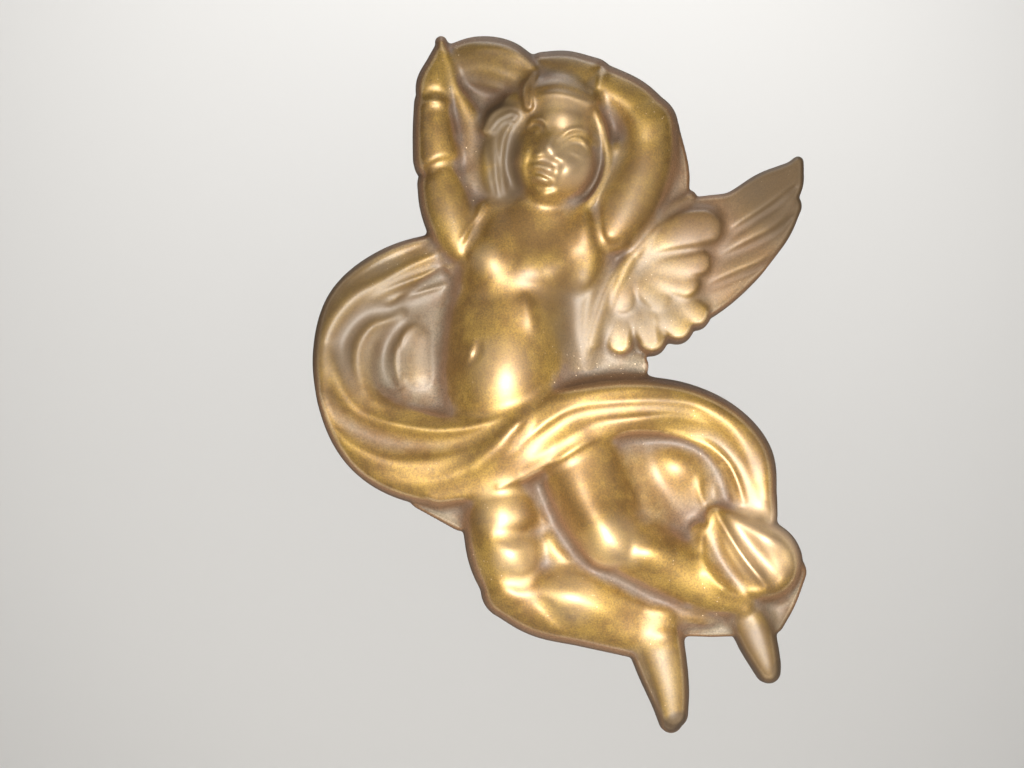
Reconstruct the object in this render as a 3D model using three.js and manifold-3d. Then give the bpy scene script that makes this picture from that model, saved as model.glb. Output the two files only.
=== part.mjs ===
// Angel wall ornament: a flying cherub in half-round relief, cast in plaster in one piece with a flat back.
// Millimetres, +Z up. The wall plane is Y = 0 and the carved front looks towards -Y. The origin is where
// the middle of the back rests on the wall. The relief is carved on a grid as a height over the wall and
// then closed into one solid, square to the wall up to a rim and carved over it.
import * as THREE from 'three';
import { mergeVertices } from 'three/addons/utils/BufferGeometryUtils.js';
import Module from 'manifold-3d';

// Driving sizes
const figureHeight = 260;
const reliefDepth = 34;
const rimThickness = 7;
const sideDraft = 7;
const carvingStep = 1.1;
const creaseFilling = 1.9;
const softening = 0.5;
const trianglesKept = 9300;
const nailPocketDiameter = 11;
const nailPocketDepth = 9;
const nailPocketHeight = 96;
const nailPocketAcross = 4;

// The figure is drawn on squares, 694.4 to its height. Rows of a form are across, up, half width and crest,
// and the highest crest stands 91 squares over the wall.
const square = figureHeight / 694.4;
const crestSquare = reliefDepth / 91;
const sheet = { left: -249, right: 281, bottom: -373, top: 367 };
const sideSlope = 1 / Math.tan(THREE.MathUtils.degToRad(sideDraft));

// The drawing is a view from in front and a little below, so a raised point moves along its line of sight
const viewDistance = 2036;
const viewTilt = THREE.MathUtils.degToRad(-6);
const viewCentre = { across: -33, up: 3 };
function placed(across, up, height) {
  const [u, v] = [across - viewCentre.across, up - viewCentre.up];
  const [c, s] = [Math.cos(viewTilt), Math.sin(viewTilt)];
  const reach = (viewDistance * c - height) / (viewDistance * c + v * s);
  const fall = viewDistance * s;
  return [viewCentre.across + reach * u, viewCentre.up + fall + reach * (v * c - fall)];
}

// Smooth curve through the rows, with every column carried along
function curve(rows, steps = 12) {
  if (rows.length === 2) {
    const between = (share) => rows[0].map((v, c) => v + (rows[1][c] - v) * share);
    return Array.from({ length: steps + 1 }, (_, i) => between(i / steps));
  }
  const last = rows.length - 1;
  const before = rows[0].map((v, c) => 2 * v - rows[1][c]);
  const after = rows[last].map((v, c) => 2 * v - rows[last - 1][c]);
  const all = [before, ...rows, after];
  const path = [];
  for (let k = 1; k < all.length - 2; k += 1) {
    const [a, b, c, d] = all.slice(k - 1, k + 3);
    for (let i = 0; i < steps; i += 1) {
      const t = i / steps;
      path.push(b.map((v, n) => 0.5 * (2 * v + (c[n] - a[n]) * t
        + (2 * a[n] - 5 * v + 4 * c[n] - d[n]) * t * t
        + (3 * v - a[n] - 3 * c[n] + d[n]) * t * t * t)));
    }
  }
  path.push(rows[last]);
  return path;
}

// The larger of two heights, with a fillet where they meet
function joined(a, b, fillet) {
  const w = THREE.MathUtils.clamp(0.5 + 0.5 * (b - a) / fillet, 0, 1);
  return a * (1 - w) + b * w + fillet * w * (1 - w);
}

// Drop below the crest, in half widths: an ellipse that runs on as a straight drafted side
function dome(v, round) {
  const turn = sideSlope / Math.hypot(round, sideSlope);
  return round * (1 - Math.sqrt(1 - Math.min(v, turn) ** 2)) + sideSlope * Math.max(v - turn, 0);
}

// Ellipse coordinates of a point, turned counterclockwise by degrees
function turned(dx, dz, rx, rz, degrees) {
  const angle = THREE.MathUtils.degToRad(degrees);
  const [c, s] = [Math.cos(angle), Math.sin(angle)];
  return [(dx * c + dz * s) / rx, (-dx * s + dz * c) / rz];
}

class Relief {
  constructor(step) {
    this.step = step;
    this.columns = Math.ceil((sheet.right - sheet.left) / step) + 1;
    this.rows = Math.ceil((sheet.top - sheet.bottom) / step) + 1;
    this.heights = new Float64Array(this.columns * this.rows).fill(-60);
  }

  // Calls work(across, up, index) for each grid point in a window round the path
  each(path, margin, work) {
    const xs = path.map((p) => p[0]);
    const zs = path.map((p) => p[1]);
    const clip = (v, top) => Math.max(0, Math.min(top, v));
    const i0 = clip(Math.floor((Math.min(...xs) - margin - sheet.left) / this.step), this.columns);
    const i1 = clip(Math.ceil((Math.max(...xs) + margin - sheet.left) / this.step), this.columns);
    const j0 = clip(Math.floor((Math.min(...zs) - margin - sheet.bottom) / this.step), this.rows);
    const j1 = clip(Math.ceil((Math.max(...zs) + margin - sheet.bottom) / this.step), this.rows);
    for (let j = j0; j < j1; j += 1) {
      for (let i = i0; i < i1; i += 1) {
        work(sheet.left + i * this.step, sheet.bottom + j * this.step, j * this.columns + i);
      }
    }
  }

  // Distance, side and share of the way to every piece of a path
  static pieces(path, x, z, visit) {
    for (let k = 0; k < path.length - 1; k += 1) {
      const [a, b] = [path[k], path[k + 1]];
      const [ux, uz] = [b[0] - a[0], b[1] - a[1]];
      const length = Math.max(ux * ux + uz * uz, 1e-9);
      const t = THREE.MathUtils.clamp(((x - a[0]) * ux + (z - a[1]) * uz) / length, 0, 1);
      const [dx, dz] = [x - a[0] - t * ux, z - a[1] - t * uz];
      visit(a, b, t, Math.hypot(dx, dz), (dz * ux - dx * uz) / Math.sqrt(length), k);
    }
  }

  static nearest(path, x, z) {
    let best = { distance: Infinity };
    Relief.pieces(path, x, z, (a, b, t, distance, side, k) => {
      if (distance < best.distance) best = { distance, side, a, b, t, along: (k + t) / (path.length - 1) };
    });
    return best;
  }

  // A rounded form along rows of across, up, half width, crest
  limb(rows, round = 0.8, fillet = 2, lean = 0) {
    const path = curve(rows);
    const margin = Math.max(...path.map((p) => p[2])) + 30;
    this.each(path, margin, (x, z, n) => {
      let best = -Infinity;
      Relief.pieces(path, x, z, (a, b, t, distance, side) => {
        const half = a[2] + (b[2] - a[2]) * t;
        const crest = a[3] + (b[3] - a[3]) * t;
        best = Math.max(best, crest - half * dome(distance / half, round) + lean * side);
      });
      this.heights[n] = joined(this.heights[n], best, fillet);
    });
  }

  // A rounded cap on an ellipse
  blob(x, z, rx, rz, degrees, crest, round = 0.6, fillet = 4) {
    const mean = Math.sqrt(rx * rz);
    this.each([[x, z]], Math.max(rx, rz) + 30, (gx, gz, n) => {
      const [u, v] = turned(gx - x, gz - z, rx, rz, degrees);
      this.heights[n] = joined(this.heights[n], crest - mean * dome(Math.hypot(u, v), round), fillet);
    });
  }

  // A soft bump or hollow with no edge, left out where the grid is too coarse for it
  swell(x, z, rx, rz, degrees, amount) {
    if (Math.min(rx, rz) < 1.4 * this.step) return;
    this.each([[x, z]], 3 * Math.max(rx, rz), (gx, gz, n) => {
      const [u, v] = turned(gx - x, gz - z, rx, rz, degrees);
      this.heights[n] += amount * Math.exp(-u * u - v * v);
    });
  }

  // A ridge or groove along rows of across, up, width, amount; its width on the right hand is scaled by right
  ridge(rows, right = 1) {
    const path = curve(rows);
    this.each(path, 3 * Math.max(...path.map((p) => p[2])), (x, z, n) => {
      const { distance, side, a, b, t } = Relief.nearest(path, x, z);
      const width = (a[2] + (b[2] - a[2]) * t) * (side < 0 ? right : 1);
      const amount = (a[3] + (b[3] - a[3]) * t) * Math.min(1, width / this.step);
      this.heights[n] += amount * Math.exp(-((distance / width) ** 2));
    });
  }

  // Mean of the heights round each point, weighted by a bell curve of this width
  mean(width) {
    const sigma = width / this.step;
    const reach = Math.ceil(3 * sigma);
    const bell = (k) => Math.exp(-0.5 * ((k - reach) / sigma) ** 2);
    const weights = Array.from({ length: 2 * reach + 1 }, (_, k) => bell(k));
    const total = weights.reduce((sum, w) => sum + w, 0);
    const blurred = (source, count, stride, lines, jump) => {
      const out = new Float64Array(source.length);
      for (let line = 0; line < lines; line += 1) {
        for (let k = 0; k < count; k += 1) {
          let sum = 0;
          weights.forEach((w, m) => {
            const near = THREE.MathUtils.clamp(k + m - reach, 0, count - 1);
            sum += w * source[line * jump + near * stride];
          });
          out[line * jump + k * stride] = sum / total;
        }
      }
      return out;
    };
    const { columns, rows } = this;
    return blurred(blurred(this.heights, columns, 1, rows, columns), rows, columns, columns, 1);
  }

  // Fills sharp hollows up to the mean round them, and leaves crests and the outline as they are
  fill(width) {
    const mean = this.mean(width);
    this.heights = this.heights.map((h, n) => (h > 0 ? Math.max(h, mean[n]) : h));
  }

  // Rounds every edge a little, as casting and painting do
  soften(width) {
    this.heights = this.mean(width);
  }

  // Combs a band along rows of across, up and half width into rounded locks
  strands(rows, count, amount) {
    const path = curve(rows);
    const widest = Math.max(...path.map((p) => p[2]));
    if (widest / count < this.step) return;
    this.each(path, widest + 2, (x, z, n) => {
      const { side, along, a, b, t } = Relief.nearest(path, x, z);
      const v = side / (a[2] + (b[2] - a[2]) * t);
      const inside = THREE.MathUtils.clamp((1 - Math.abs(v)) * 4, 0, 1);
      const ends = THREE.MathUtils.clamp(Math.min(along, 1 - along) * 5, 0, 1);
      this.heights[n] += amount * inside * ends * (Math.abs(Math.sin(Math.PI * count * (v + 1) / 2)) - 0.6);
    });
  }
}

function webs(r) {
  r.blob(-58, 287, 44, 28, 0, 30, 0.1);
  r.limb([[-67, 277, 24, 30], [-57, 227, 26, 32], [-45, 182, 24, 34]], 0.1, 6);
  r.blob(75, 259, 19, 24, 0, 44, 0.2, 6);
  r.limb([[119, 257, 15, 30], [127, 212, 17, 31], [117, 172, 22, 32]], 0.3, 6);
  r.blob(-131, 49, 62, 74, 0, 29, 0.1, 6);
  r.blob(-100, -18, 60, 24, 0, 31, 0.1, 6);
  r.limb([[47, 57, 20, 34], [59, 29, 22, 32], [89, 21, 14, 29]], 0.25, 5);
  r.blob(127, -83, 84, 62, -14, 42, 0.2, 8);
  r.limb([[53, -53, 46, 56], [75, -113, 46, 57], [110, -161, 40, 52]], 1, 20);
  r.limb([[145, -235, 14, 27], [167, -237, 13, 26], [190, -235, 14, 27]], 0.2, 5);
  r.limb([[245, -185, 16, 30], [239, -213, 12, 28], [228, -235, 11, 28]], 0.3, 6);
  r.limb([[-120, -105, 18, 28], [-83, -125, 18, 30]], 0.3, 6);
  r.limb([[-15, -103, 18, 42], [0, -138, 20, 46], [15, -169, 20, 48], [55, -197, 22, 46]], 0.3, 6);
  r.limb([[55, -197, 22, 46], [110, -219, 18, 40], [163, -225, 14, 34]], 0.3, 6);
}

function wing(r) {
  r.limb([[95, 162, 14, 32], [155, 159, 30, 35], [193, 165, 30, 36], [223, 189, 25, 34],
        [239, 203, 18, 32], [248, 215, 10, 30], [253, 225, 5, 28]], 0.2, 4);
  r.limb([[67, 61, 20, 34], [105, 83, 35, 37], [150, 105, 37, 37], [190, 131, 31, 34],
        [223, 159, 22, 32], [243, 181, 13, 30]], 0.2, 4);
  // flight feathers, each a little raised along its lower edge, with a groove after it
  r.ridge([[180, 154, 12, 1], [200, 167, 14, 3], [227, 185, 13, 3], [249, 204, 8, 1]], 0.3);
  r.ridge([[167, 128, 12, 1], [198, 143, 14, 3], [228, 159, 12, 3], [248, 175, 8, 1]], 0.3);
  r.ridge([[160, 102, 12, 1], [192, 115, 13, 3], [218, 126, 11, 3], [237, 142, 7, 1]], 0.3);
  r.ridge([[182, 150, 3.5, -1], [202, 163, 3.5, -5], [229, 181, 3.5, -5], [251, 200, 3, -2]]);
  r.ridge([[169, 124, 3.5, -1], [200, 139, 3.5, -5], [230, 155, 3.5, -5], [249, 171, 3, -2]]);
  r.ridge([[161, 98, 3.5, -1], [193, 111, 3.5, -5], [219, 122, 3.5, -5], [237, 137, 3, -2]]);
  // second row of short feathers
  r.limb([[115, 95, 10, 39], [135, 84, 12, 42], [152, 73, 12, 41]], 0.2, 2);
  r.limb([[99, 91, 10, 39], [117, 75, 13, 43], [133, 61, 14, 42]], 0.2, 2);
  r.limb([[85, 87, 9, 39], [98, 67, 13, 42], [107, 49, 14, 41]], 0.2, 2);
  r.limb([[71, 81, 8, 38], [73, 62, 12, 41], [75, 46, 13, 40]], 0.2, 2);
  r.ridge([[105, 79, 3, 1], [110, 62, 4, 1.5], [112, 45, 3, 1]]);
  r.ridge([[83, 75, 3, 1], [84, 59, 3, 1.5], [82, 41, 3, 1]]);
  // coverts over them
  r.limb([[83, 111, 8, 42], [79, 97, 11, 45], [78, 86, 12, 44]], 0.2, 2);
  r.limb([[89, 111, 9, 42], [102, 99, 12, 45], [113, 89, 13, 45]], 0.2, 2);
  r.limb([[95, 116, 9, 43], [119, 109, 12, 46], [141, 103, 13, 46]], 0.2, 2);
  r.limb([[101, 125, 9, 44], [123, 125, 13, 47], [145, 125, 14, 48], [152, 125, 14, 47]], 0.2, 2);
  r.limb([[101, 137, 12, 46], [121, 147, 17, 50], [143, 156, 20, 52], [158, 159, 19, 51]], 0.3, 4);
  r.ridge([[109, 131, 3, -1], [131, 135, 3, -4], [155, 139, 3, -4], [173, 146, 3, -1]]);
  // smooth arm of the wing along the body
  r.limb([[145, 190, 5, 36], [127, 179, 6, 42], [107, 158, 7, 47], [83, 125, 8, 48],
        [67, 95, 8, 45], [56, 62, 8, 41], [51, 45, 8, 38]], 0.8, 8);
}

function torso(r) {
  r.limb([[-5, 167, 50, 62], [-21, 125, 68, 70], [-29, 87, 68, 72], [-37, 42, 69, 75],
        [-39, -5, 69, 74], [-39, -33, 67, 72]], 0.9, 6);
  r.limb([[-59, 173, 16, 54], [-48, 141, 34, 64]], 0.8, 14);
  r.limb([[41, 177, 12, 56], [37, 153, 22, 64], [21, 125, 34, 65]], 0.8, 14);
  r.limb([[45, 135, 28, 55], [33, 95, 38, 52], [25, 59, 38, 49], [19, 25, 34, 47]], 1, 20);
  r.swell(40, 161, 11, 22, 14, 3);
  // chest
  r.swell(-65, 125, 28, 24, 10, 9);
  r.swell(-5, 119, 34, 22, -8, 6);
  r.swell(-34, 137, 12, 28, -12, -3);
  r.swell(-63, 95, 30, 11, -4, -3);
  r.swell(-1, 95, 26, 11, -14, -3);
  // ribs and waist
  r.ridge([[-25, 97, 9, 0], [-19, 85, 9, 4], [-14, 69, 9, 4], [-5, 49, 9, 0]]);
  r.ridge([[43, 137, 12, -1], [29, 102, 14, -6], [24, 62, 16, -7], [30, 17, 14, -6]]);
  r.swell(-67, 75, 20, 22, 0, -2);
  // belly
  r.swell(-39, 25, 46, 50, 10, 8);
  r.swell(-47, 7, 42, 32, 10, 5);
  r.swell(-89, -1, 12, 22, -14, -3);
  r.ridge([[-66, 49, 3, 0], [-67, 39, 3, -5], [-69, 31, 3, -6], [-74, 25, 3, -2]]);
  r.swell(-75, 35, 6, 9, -12, 3);
}

function legs(r) {
  // far thigh with its rolls
  r.limb([[-42, -103, 34, 60], [-43, -133, 37, 65], [-39, -165, 37, 66], [-32, -195, 31, 62]], 0.95, 12);
  r.swell(-44, -123, 32, 22, 0, 7);
  r.swell(-32, -166, 30, 21, -10, 9);
  r.swell(-18, -128, 12, 14, 0, 3);
  r.ridge([[-53, -197, 15, 0], [-39, -203, 16, 3], [-24, -212, 16, 3], [-9, -217, 14, 1]]);
  r.ridge([[-55, -149, 8, 0], [-35, -149, 9, -5], [-15, -146, 8, -7], [1, -142, 6, -3]]);
  r.ridge([[-49, -185, 8, 0], [-35, -193, 9, -4], [-21, -197, 9, -6], [-8, -190, 7, -6],
        [1, -179, 6, -3]]);
  // its calf
  r.limb([[-35, -203, 27, 58], [0, -213, 36, 62], [40, -219, 39, 62], [75, -233, 33, 55],
        [100, -247, 25, 47]], 0.8, 10);
  r.swell(24, -207, 30, 21, -14, 10);
  r.swell(59, -222, 24, 15, -20, 4);
  r.ridge([[-13, -209, 6, 0], [1, -219, 6, -3], [15, -233, 7, -4], [30, -243, 7, 0]]);
  // its foot
  r.limb([[107, -247, 26, 44], [115, -281, 21, 41], [123, -313, 15, 38], [126, -335, 10, 34]], 0.5, 8);
  r.limb([[111, -237, 22, 46], [119, -268, 20, 47], [126, -301, 16, 46], [129, -327, 12, 43]], 0.6, 10);
  r.swell(123, -249, 14, 10, 0, 3);
  // near thigh, knee and calf
  r.limb([[28, -43, 42, 77], [37, -83, 41, 79], [50, -118, 39, 80], [60, -143, 33, 79],
        [63, -156, 25, 80]], 0.8, 16);
  r.limb([[63, -149, 30, 77], [100, -166, 32, 73], [137, -185, 30, 66], [170, -203, 23, 56],
        [197, -216, 14, 48]], 0.9, 14);
  r.swell(35, -103, 18, 30, 24, 4);
  r.swell(55, -133, 24, 20, -30, 5);
  r.swell(61, -153, 34, 28, -30, 6);
  r.swell(107, -164, 32, 22, -20, 9);
  r.ridge([[105, -125, 10, 0], [97, -140, 12, -5], [89, -158, 11, -3], [81, -177, 9, 0]]);
  r.ridge([[-5, -99, 9, 0], [6, -123, 10, -4], [21, -149, 10, -5], [37, -165, 9, -3]]);
  // second foot
  r.limb([[201, -221, 20, 41], [212, -251, 18, 43], [221, -275, 13, 42], [224, -285, 10, 40]], 0.8, 8);
  r.ridge([[197, -227, 7, 0], [213, -231, 9, 2], [225, -253, 9, 2], [229, -281, 8, 1]]);
  // worn web between the legs
  r.ridge([[-14, -103, 10, 2], [-2, -131, 13, 5], [10, -158, 14, 5], [23, -175, 13, 5],
        [45, -190, 13, 5], [77, -207, 12, 5], [110, -221, 10, 5], [145, -228, 9, 4],
        [173, -228, 6, 1]]);
}

function loop(r) {
  r.limb([[-79, 121, 16, 36], [-105, 135, 16, 36], [-151, 115, 24, 38], [-189, 81, 28, 38],
        [-203, 35, 28, 36], [-193, -15, 32, 40], [-161, -53, 42, 46], [-115, -71, 44, 54],
        [-65, -68, 40, 64], [-25, -53, 34, 74]], 0.3, 4);
  // folds of the upper part
  r.ridge([[-120, 149, 5, 1.5], [-145, 139, 6.2, 4.5], [-170, 127, 6.2, 3.8], [-193, 111, 6.2, 1.5]], 1.2);
  r.ridge([[-99, 137, 5, 2.2], [-133, 123, 8.8, 6], [-163, 107, 11.2, 6.8], [-193, 91, 12.5, 6.8],
        [-215, 65, 11.2, 6], [-225, 35, 8.8, 4.5], [-225, 2, 7.5, 3]], 0.6);
  r.ridge([[-92, 122, 3.8, 3], [-115, 113, 5, 5.2], [-137, 105, 6.2, 5.2], [-160, 94, 7.5, 3],
        [-180, 81, 7.5, 0]], 0.7);
  r.ridge([[-90, 105, 3.8, 3], [-120, 97, 5, 5.2], [-145, 89, 6.2, 4.5], [-165, 81, 6.2, 0]], 0.7);
  // hollow of the loop and the shell inside it
  r.limb([[-147, 72, 10, 33], [-173, 52, 14, 35], [-183, 22, 14, 36], [-171, -8, 12, 34],
        [-145, -18, 10, 32]], 0.5, 5);
  r.ridge([[-153, 81, 7.5, 0], [-183, 69, 10, -3.8], [-200, 42, 10, -5.2], [-197, 9, 8.8, -6],
        [-177, -19, 7.5, -6], [-145, -30, 6.2, -4.5], [-105, -34, 5, -3]]);
  r.ridge([[-141, 70, 6.2, 0], [-167, 65, 6.2, 4], [-185, 49, 7.5, 4.5], [-191, 25, 7.5, 3.8],
        [-185, -1, 7.5, 1.5]]);
  r.ridge([[-149, 61, 8.8, -1.5], [-160, 37, 10, -4.5], [-158, 5, 10, -4.5], [-141, -17, 8.8, -3]]);
  r.limb([[-129, 47, 16, 33], [-127, 12, 17, 34]], 0.4, 6);
  r.ridge([[-113, 69, 5, 0], [-132, 63, 5, 2], [-144, 49, 5, 4], [-150, 31, 5, 5.2],
        [-148, 11, 5, 5.2], [-139, -9, 5, 4.5], [-125, -16, 5, 2.2], [-109, -15, 5, 0]]);
  // lower sweep: two long rolls with a valley between, and a crisp lower edge
  r.ridge([[-218, 44, 8, 0], [-212, 22, 10, 4], [-196, -3, 12, 6], [-169, -23, 13, 8],
        [-134, -34, 15, 10], [-100, -39, 15, 11], [-65, -37, 13, 11], [-35, -28, 10, 9],
        [-13, -17, 8, 6]], 1.5);
  r.ridge([[-189, -11, 6, 0], [-167, -29, 6, 2], [-134, -40, 6, 3], [-100, -44, 6, 3],
        [-65, -40, 6, 3], [-35, -30, 5, 1]]);
  r.ridge([[-223, 2, 8.8, -1.5], [-205, -33, 12.5, -4.5], [-173, -51, 13.8, -6],
        [-135, -59, 13.8, -6.8], [-95, -57, 12.5, -6.8], [-60, -45, 10, -6], [-30, -28, 7.5, -3]]);
  r.ridge([[-224, -15, 6.2, 3], [-211, -43, 7.5, 5.2], [-187, -61, 8.8, 6], [-155, -73, 10, 6],
        [-120, -74, 10, 6], [-85, -67, 10, 5.2], [-55, -54, 8.8, 4.5], [-30, -35, 6.2, 3]], 1.6);
  r.ridge([[-173, -91, 7.5, 1.5], [-145, -97, 8.8, 3.8], [-110, -95, 10, 5.2], [-80, -84, 10, 6.8],
        [-55, -65, 10, 6.8], [-35, -45, 10, 4.5], [-15, -27, 8.8, 0]], 1.4);
}

function hipCloth(r) {
  r.limb([[-105, -95, 22, 56], [-60, -79, 30, 66], [-15, -51, 36, 76], [30, -33, 32, 78],
        [80, -21, 26, 74], [131, -24, 25, 64], [173, -42, 25, 56], [199, -72, 26, 52],
        [207, -108, 22, 48], [210, -127, 20, 46]], 0.3, 4);
  // folds that fan out over the hip
  r.ridge([[-67, -83, 8.8, 2.2], [-43, -61, 10, 4.5], [-23, -37, 10, 6], [3, -17, 10, 6],
        [35, -7, 8.8, 6.8], [67, -2, 7.5, 5.2], [105, -1, 7.5, 4.5], [145, -7, 8.8, 4.5],
        [175, -19, 10, 5.2], [203, -43, 10, 5.2], [219, -73, 8.8, 4.5], [223, -108, 8.8, 3]], 1.2);
  r.ridge([[-45, -79, 8.8, 2.2], [-17, -55, 10, 6], [7, -33, 10, 6.8], [40, -20, 8.8, 4.5],
        [77, -15, 7.5, 4.5], [115, -14, 7.5, 5.2], [150, -19, 8.8, 5.2], [180, -35, 10, 5.2],
        [199, -61, 10, 3.8], [207, -93, 8.8, 1.5]], 1.3);
  r.ridge([[-25, -83, 7.5, 2.2], [0, -68, 8.8, 5.2], [27, -50, 8.8, 5.2], [57, -37, 7.5, 3],
        [95, -31, 6.2, 4.5], [130, -29, 7.5, 4.5], [160, -39, 7.5, 2.2]], 1.4);
  r.ridge([[-25, -65, 5, 0], [0, -47, 5, -3.8], [27, -30, 5, -3.8], [60, -24, 5, -3],
        [100, -22, 5, -3], [145, -25, 5, -3], [170, -41, 5, 0]]);
  r.ridge([[-45, -101, 6.2, 3], [-15, -90, 6.2, 4.5], [15, -72, 6.2, 4.5], [45, -55, 6.2, 3],
        [67, -49, 6.2, 0]], 0.7);
  // hollow of the right loop
  r.ridge([[95, -45, 10, 0], [135, -41, 11.2, -5.2], [167, -53, 11.2, -6.8], [190, -79, 11.2, -6],
        [203, -113, 10, -2.2]]);
  r.ridge([[155, -50, 3.8, 1.5], [169, -60, 3.8, 5.2], [183, -74, 3.8, 6], [192, -91, 3.8, 6],
        [200, -115, 3.8, 2.2]], 1.4);
  r.swell(133, -77, 30, 22, -28, 10);
  r.swell(119, -89, 40, 34, -20, 4);
  r.ridge([[155, -83, 5, 0], [155, -103, 5, 3], [161, -121, 5, 3.8]]);
  r.ridge([[170, -91, 5, 0], [171, -108, 5, 3], [171, -121, 5, 3]]);
}

function tail(r) {
  r.limb([[155, -147, 12, 50], [157, -173, 16, 54], [177, -191, 16, 50]], 0.5, 4);
  r.limb([[171, -129, 10, 54], [193, -159, 32, 60], [213, -173, 38, 60], [219, -176, 36, 58]], 0.5, 4);
  r.ridge([[195, -135, 8, 2], [220, -144, 11, 5], [242, -159, 10, 5], [251, -175, 8, 3]]);
  r.ridge([[172, -125, 4, 2], [184, -145, 4.5, 5], [199, -169, 5, 6], [212, -187, 5, 5],
        [221, -199, 4, 2]]);
  r.ridge([[181, -133, 5, -2], [198, -154, 7, -6], [216, -174, 7, -6], [230, -189, 6, -3]]);
  r.ridge([[161, -133, 5, 2], [157, -161, 6, 5], [165, -181, 6, 5], [180, -198, 6, 3]]);
  r.ridge([[169, -143, 5, -2], [173, -165, 6, -5], [185, -185, 6, -5], [197, -199, 5, -2]]);
  r.ridge([[161, -187, 6, 2], [177, -201, 7, 4], [200, -208, 7, 4], [223, -205, 6, 2]]);
  r.swell(223, -153, 20, 12, -40, 5);
}

function arms(r) {
  // cloth strip down the inside of the raised arm
  r.limb([[-104, 345, 3, 46], [-96, 321, 4, 46], [-90, 299, 5, 46], [-82, 283, 8, 45],
        [-74, 265, 12, 44], [-73, 237, 12, 43], [-68, 207, 11, 42], [-55, 190, 9, 41],
        [-39, 179, 8, 40]], 0.6, 4);
  // cloth over the head: a rolled band
  r.limb([[-93, 325, 16, 38], [-67, 325, 24, 46], [-43, 320, 25, 52], [-21, 312, 16, 54]], 0.6, 6);
  r.ridge([[-67, 341, 6, 2], [-45, 341, 7, 6], [-25, 333, 7, 8], [-9, 321, 6, 5]]);
  r.ridge([[-89, 309, 6, 0], [-65, 309, 8, -4], [-40, 303, 7, -3]]);
  r.ridge([[-12, 341, 4, 3], [-4, 329, 4, 8], [3, 315, 4, 7]]);
  // left of picture
  r.limb([[-104, 337, 5, 42], [-107, 321, 10, 48], [-111, 303, 15, 52], [-110, 287, 16, 52]], 0.7, 5);
  r.limb([[-111, 283, 18, 52], [-110, 257, 20, 56], [-107, 229, 23, 58]], 0.95, 6);
  r.limb([[-103, 203, 23, 56], [-97, 181, 26, 60], [-89, 155, 23, 60], [-83, 141, 17, 58]], 1, 8);
  r.ridge([[-125, 291, 5, -2], [-111, 294, 5, -3], [-95, 290, 5, -2]]);
  r.ridge([[-125, 284, 4, 1], [-111, 287, 4, 3], [-97, 284, 4, 1]]);
  r.ridge([[-127, 210, 6, -2], [-115, 218, 6, -6], [-99, 224, 6, -6], [-79, 223, 6, -3]]);
  r.ridge([[-61, 183, 4, 2], [-71, 167, 4, 4], [-81, 149, 4, 2]]);
  r.ridge([[-56, 175, 5, -2], [-68, 155, 5, -6], [-77, 137, 5, -3]]);
  // right of picture
  r.limb([[-2, 321, 12, 48], [21, 315, 19, 54], [47, 307, 20, 58]], 0.9, 6);
  r.limb([[51, 303, 20, 57], [81, 283, 26, 60], [101, 263, 28, 62]], 0.9, 6);
  r.limb([[101, 261, 30, 62], [98, 227, 32, 66], [85, 191, 32, 67], [67, 157, 24, 65]], 0.9, 10);
  r.ridge([[57, 321, 4, -4], [49, 310, 4, -8], [46, 297, 4, -5]]);
  r.ridge([[61, 317, 5, 1], [55, 307, 5, 2], [53, 295, 5, 1]]);
  r.ridge([[55, 289, 10, -3], [73, 265, 12, -8], [77, 237, 12, -6], [67, 207, 10, -3]]);
  r.ridge([[53, 153, 6, -1], [59, 144, 6, -3], [69, 142, 6, -3], [81, 147, 6, -1]]);
  r.ridge([[47, 191, 4, -3], [51, 171, 4, -6], [54, 151, 4, -4]]);
}

function head(r) {
  // neck, and the hair that falls on the left
  r.limb([[-29, 173, 12, 50], [0, 168, 14, 56], [27, 174, 12, 53]], 0.8, 8);
  r.limb([[-25, 277, 20, 62], [-41, 247, 19, 58], [-49, 215, 17, 53], [-41, 183, 12, 47]], 0.7, 8);
  r.strands([[-23, 283, 15], [-46, 253, 20], [-45, 215, 18], [-41, 179, 12]], 4, 1.3);
  r.limb([[-56, 257, 7, 57], [-48, 269, 9, 60], [-34, 274, 9, 62], [-24, 269, 7, 61]], 0.7, 6);
  r.strands([[-56, 255, 8], [-47, 268, 10], [-33, 274, 10], [-23, 267, 8]], 3, 1.5);
  // head, and the hair over the brow
  r.blob(11, 236, 45, 58, -11, 80, 0.8, 8);
  r.limb([[-11, 292, 12, 64], [15, 297, 14, 68], [43, 287, 11, 65]], 0.8, 8);
  r.strands([[-15, 289, 12], [15, 294, 14], [47, 283, 11]], 3, 2);
  r.limb([[-11, 311, 5, 58], [-17, 297, 7, 65], [-17, 281, 6, 67]], 0.8, 4);
  r.strands([[-10, 317, 6], [-17, 297, 8], [-17, 277, 7]], 2, 2);
  // edge of the hair round the face, and the ear
  r.limb([[27, 301, 4, 58], [43, 288, 4.5, 59], [53, 269, 4.5, 57], [59, 249, 4.5, 56],
        [63, 229, 4.5, 55], [60, 210, 4.5, 55], [52, 193, 4.5, 56], [38, 178, 4.5, 57],
        [21, 168, 4, 56]], 0.5, 2);
  r.ridge([[41, 275, 4, -1], [49, 249, 5, -3], [49, 221, 5, -3], [41, 199, 4, -2]]);
  r.blob(72, 237, 6, 10, 0, 54, 0.7);
  r.ridge([[-21, 271, 5, -1], [-32, 247, 5, -4], [-37, 222, 5, -4], [-32, 197, 5, -2]]);
}

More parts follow.
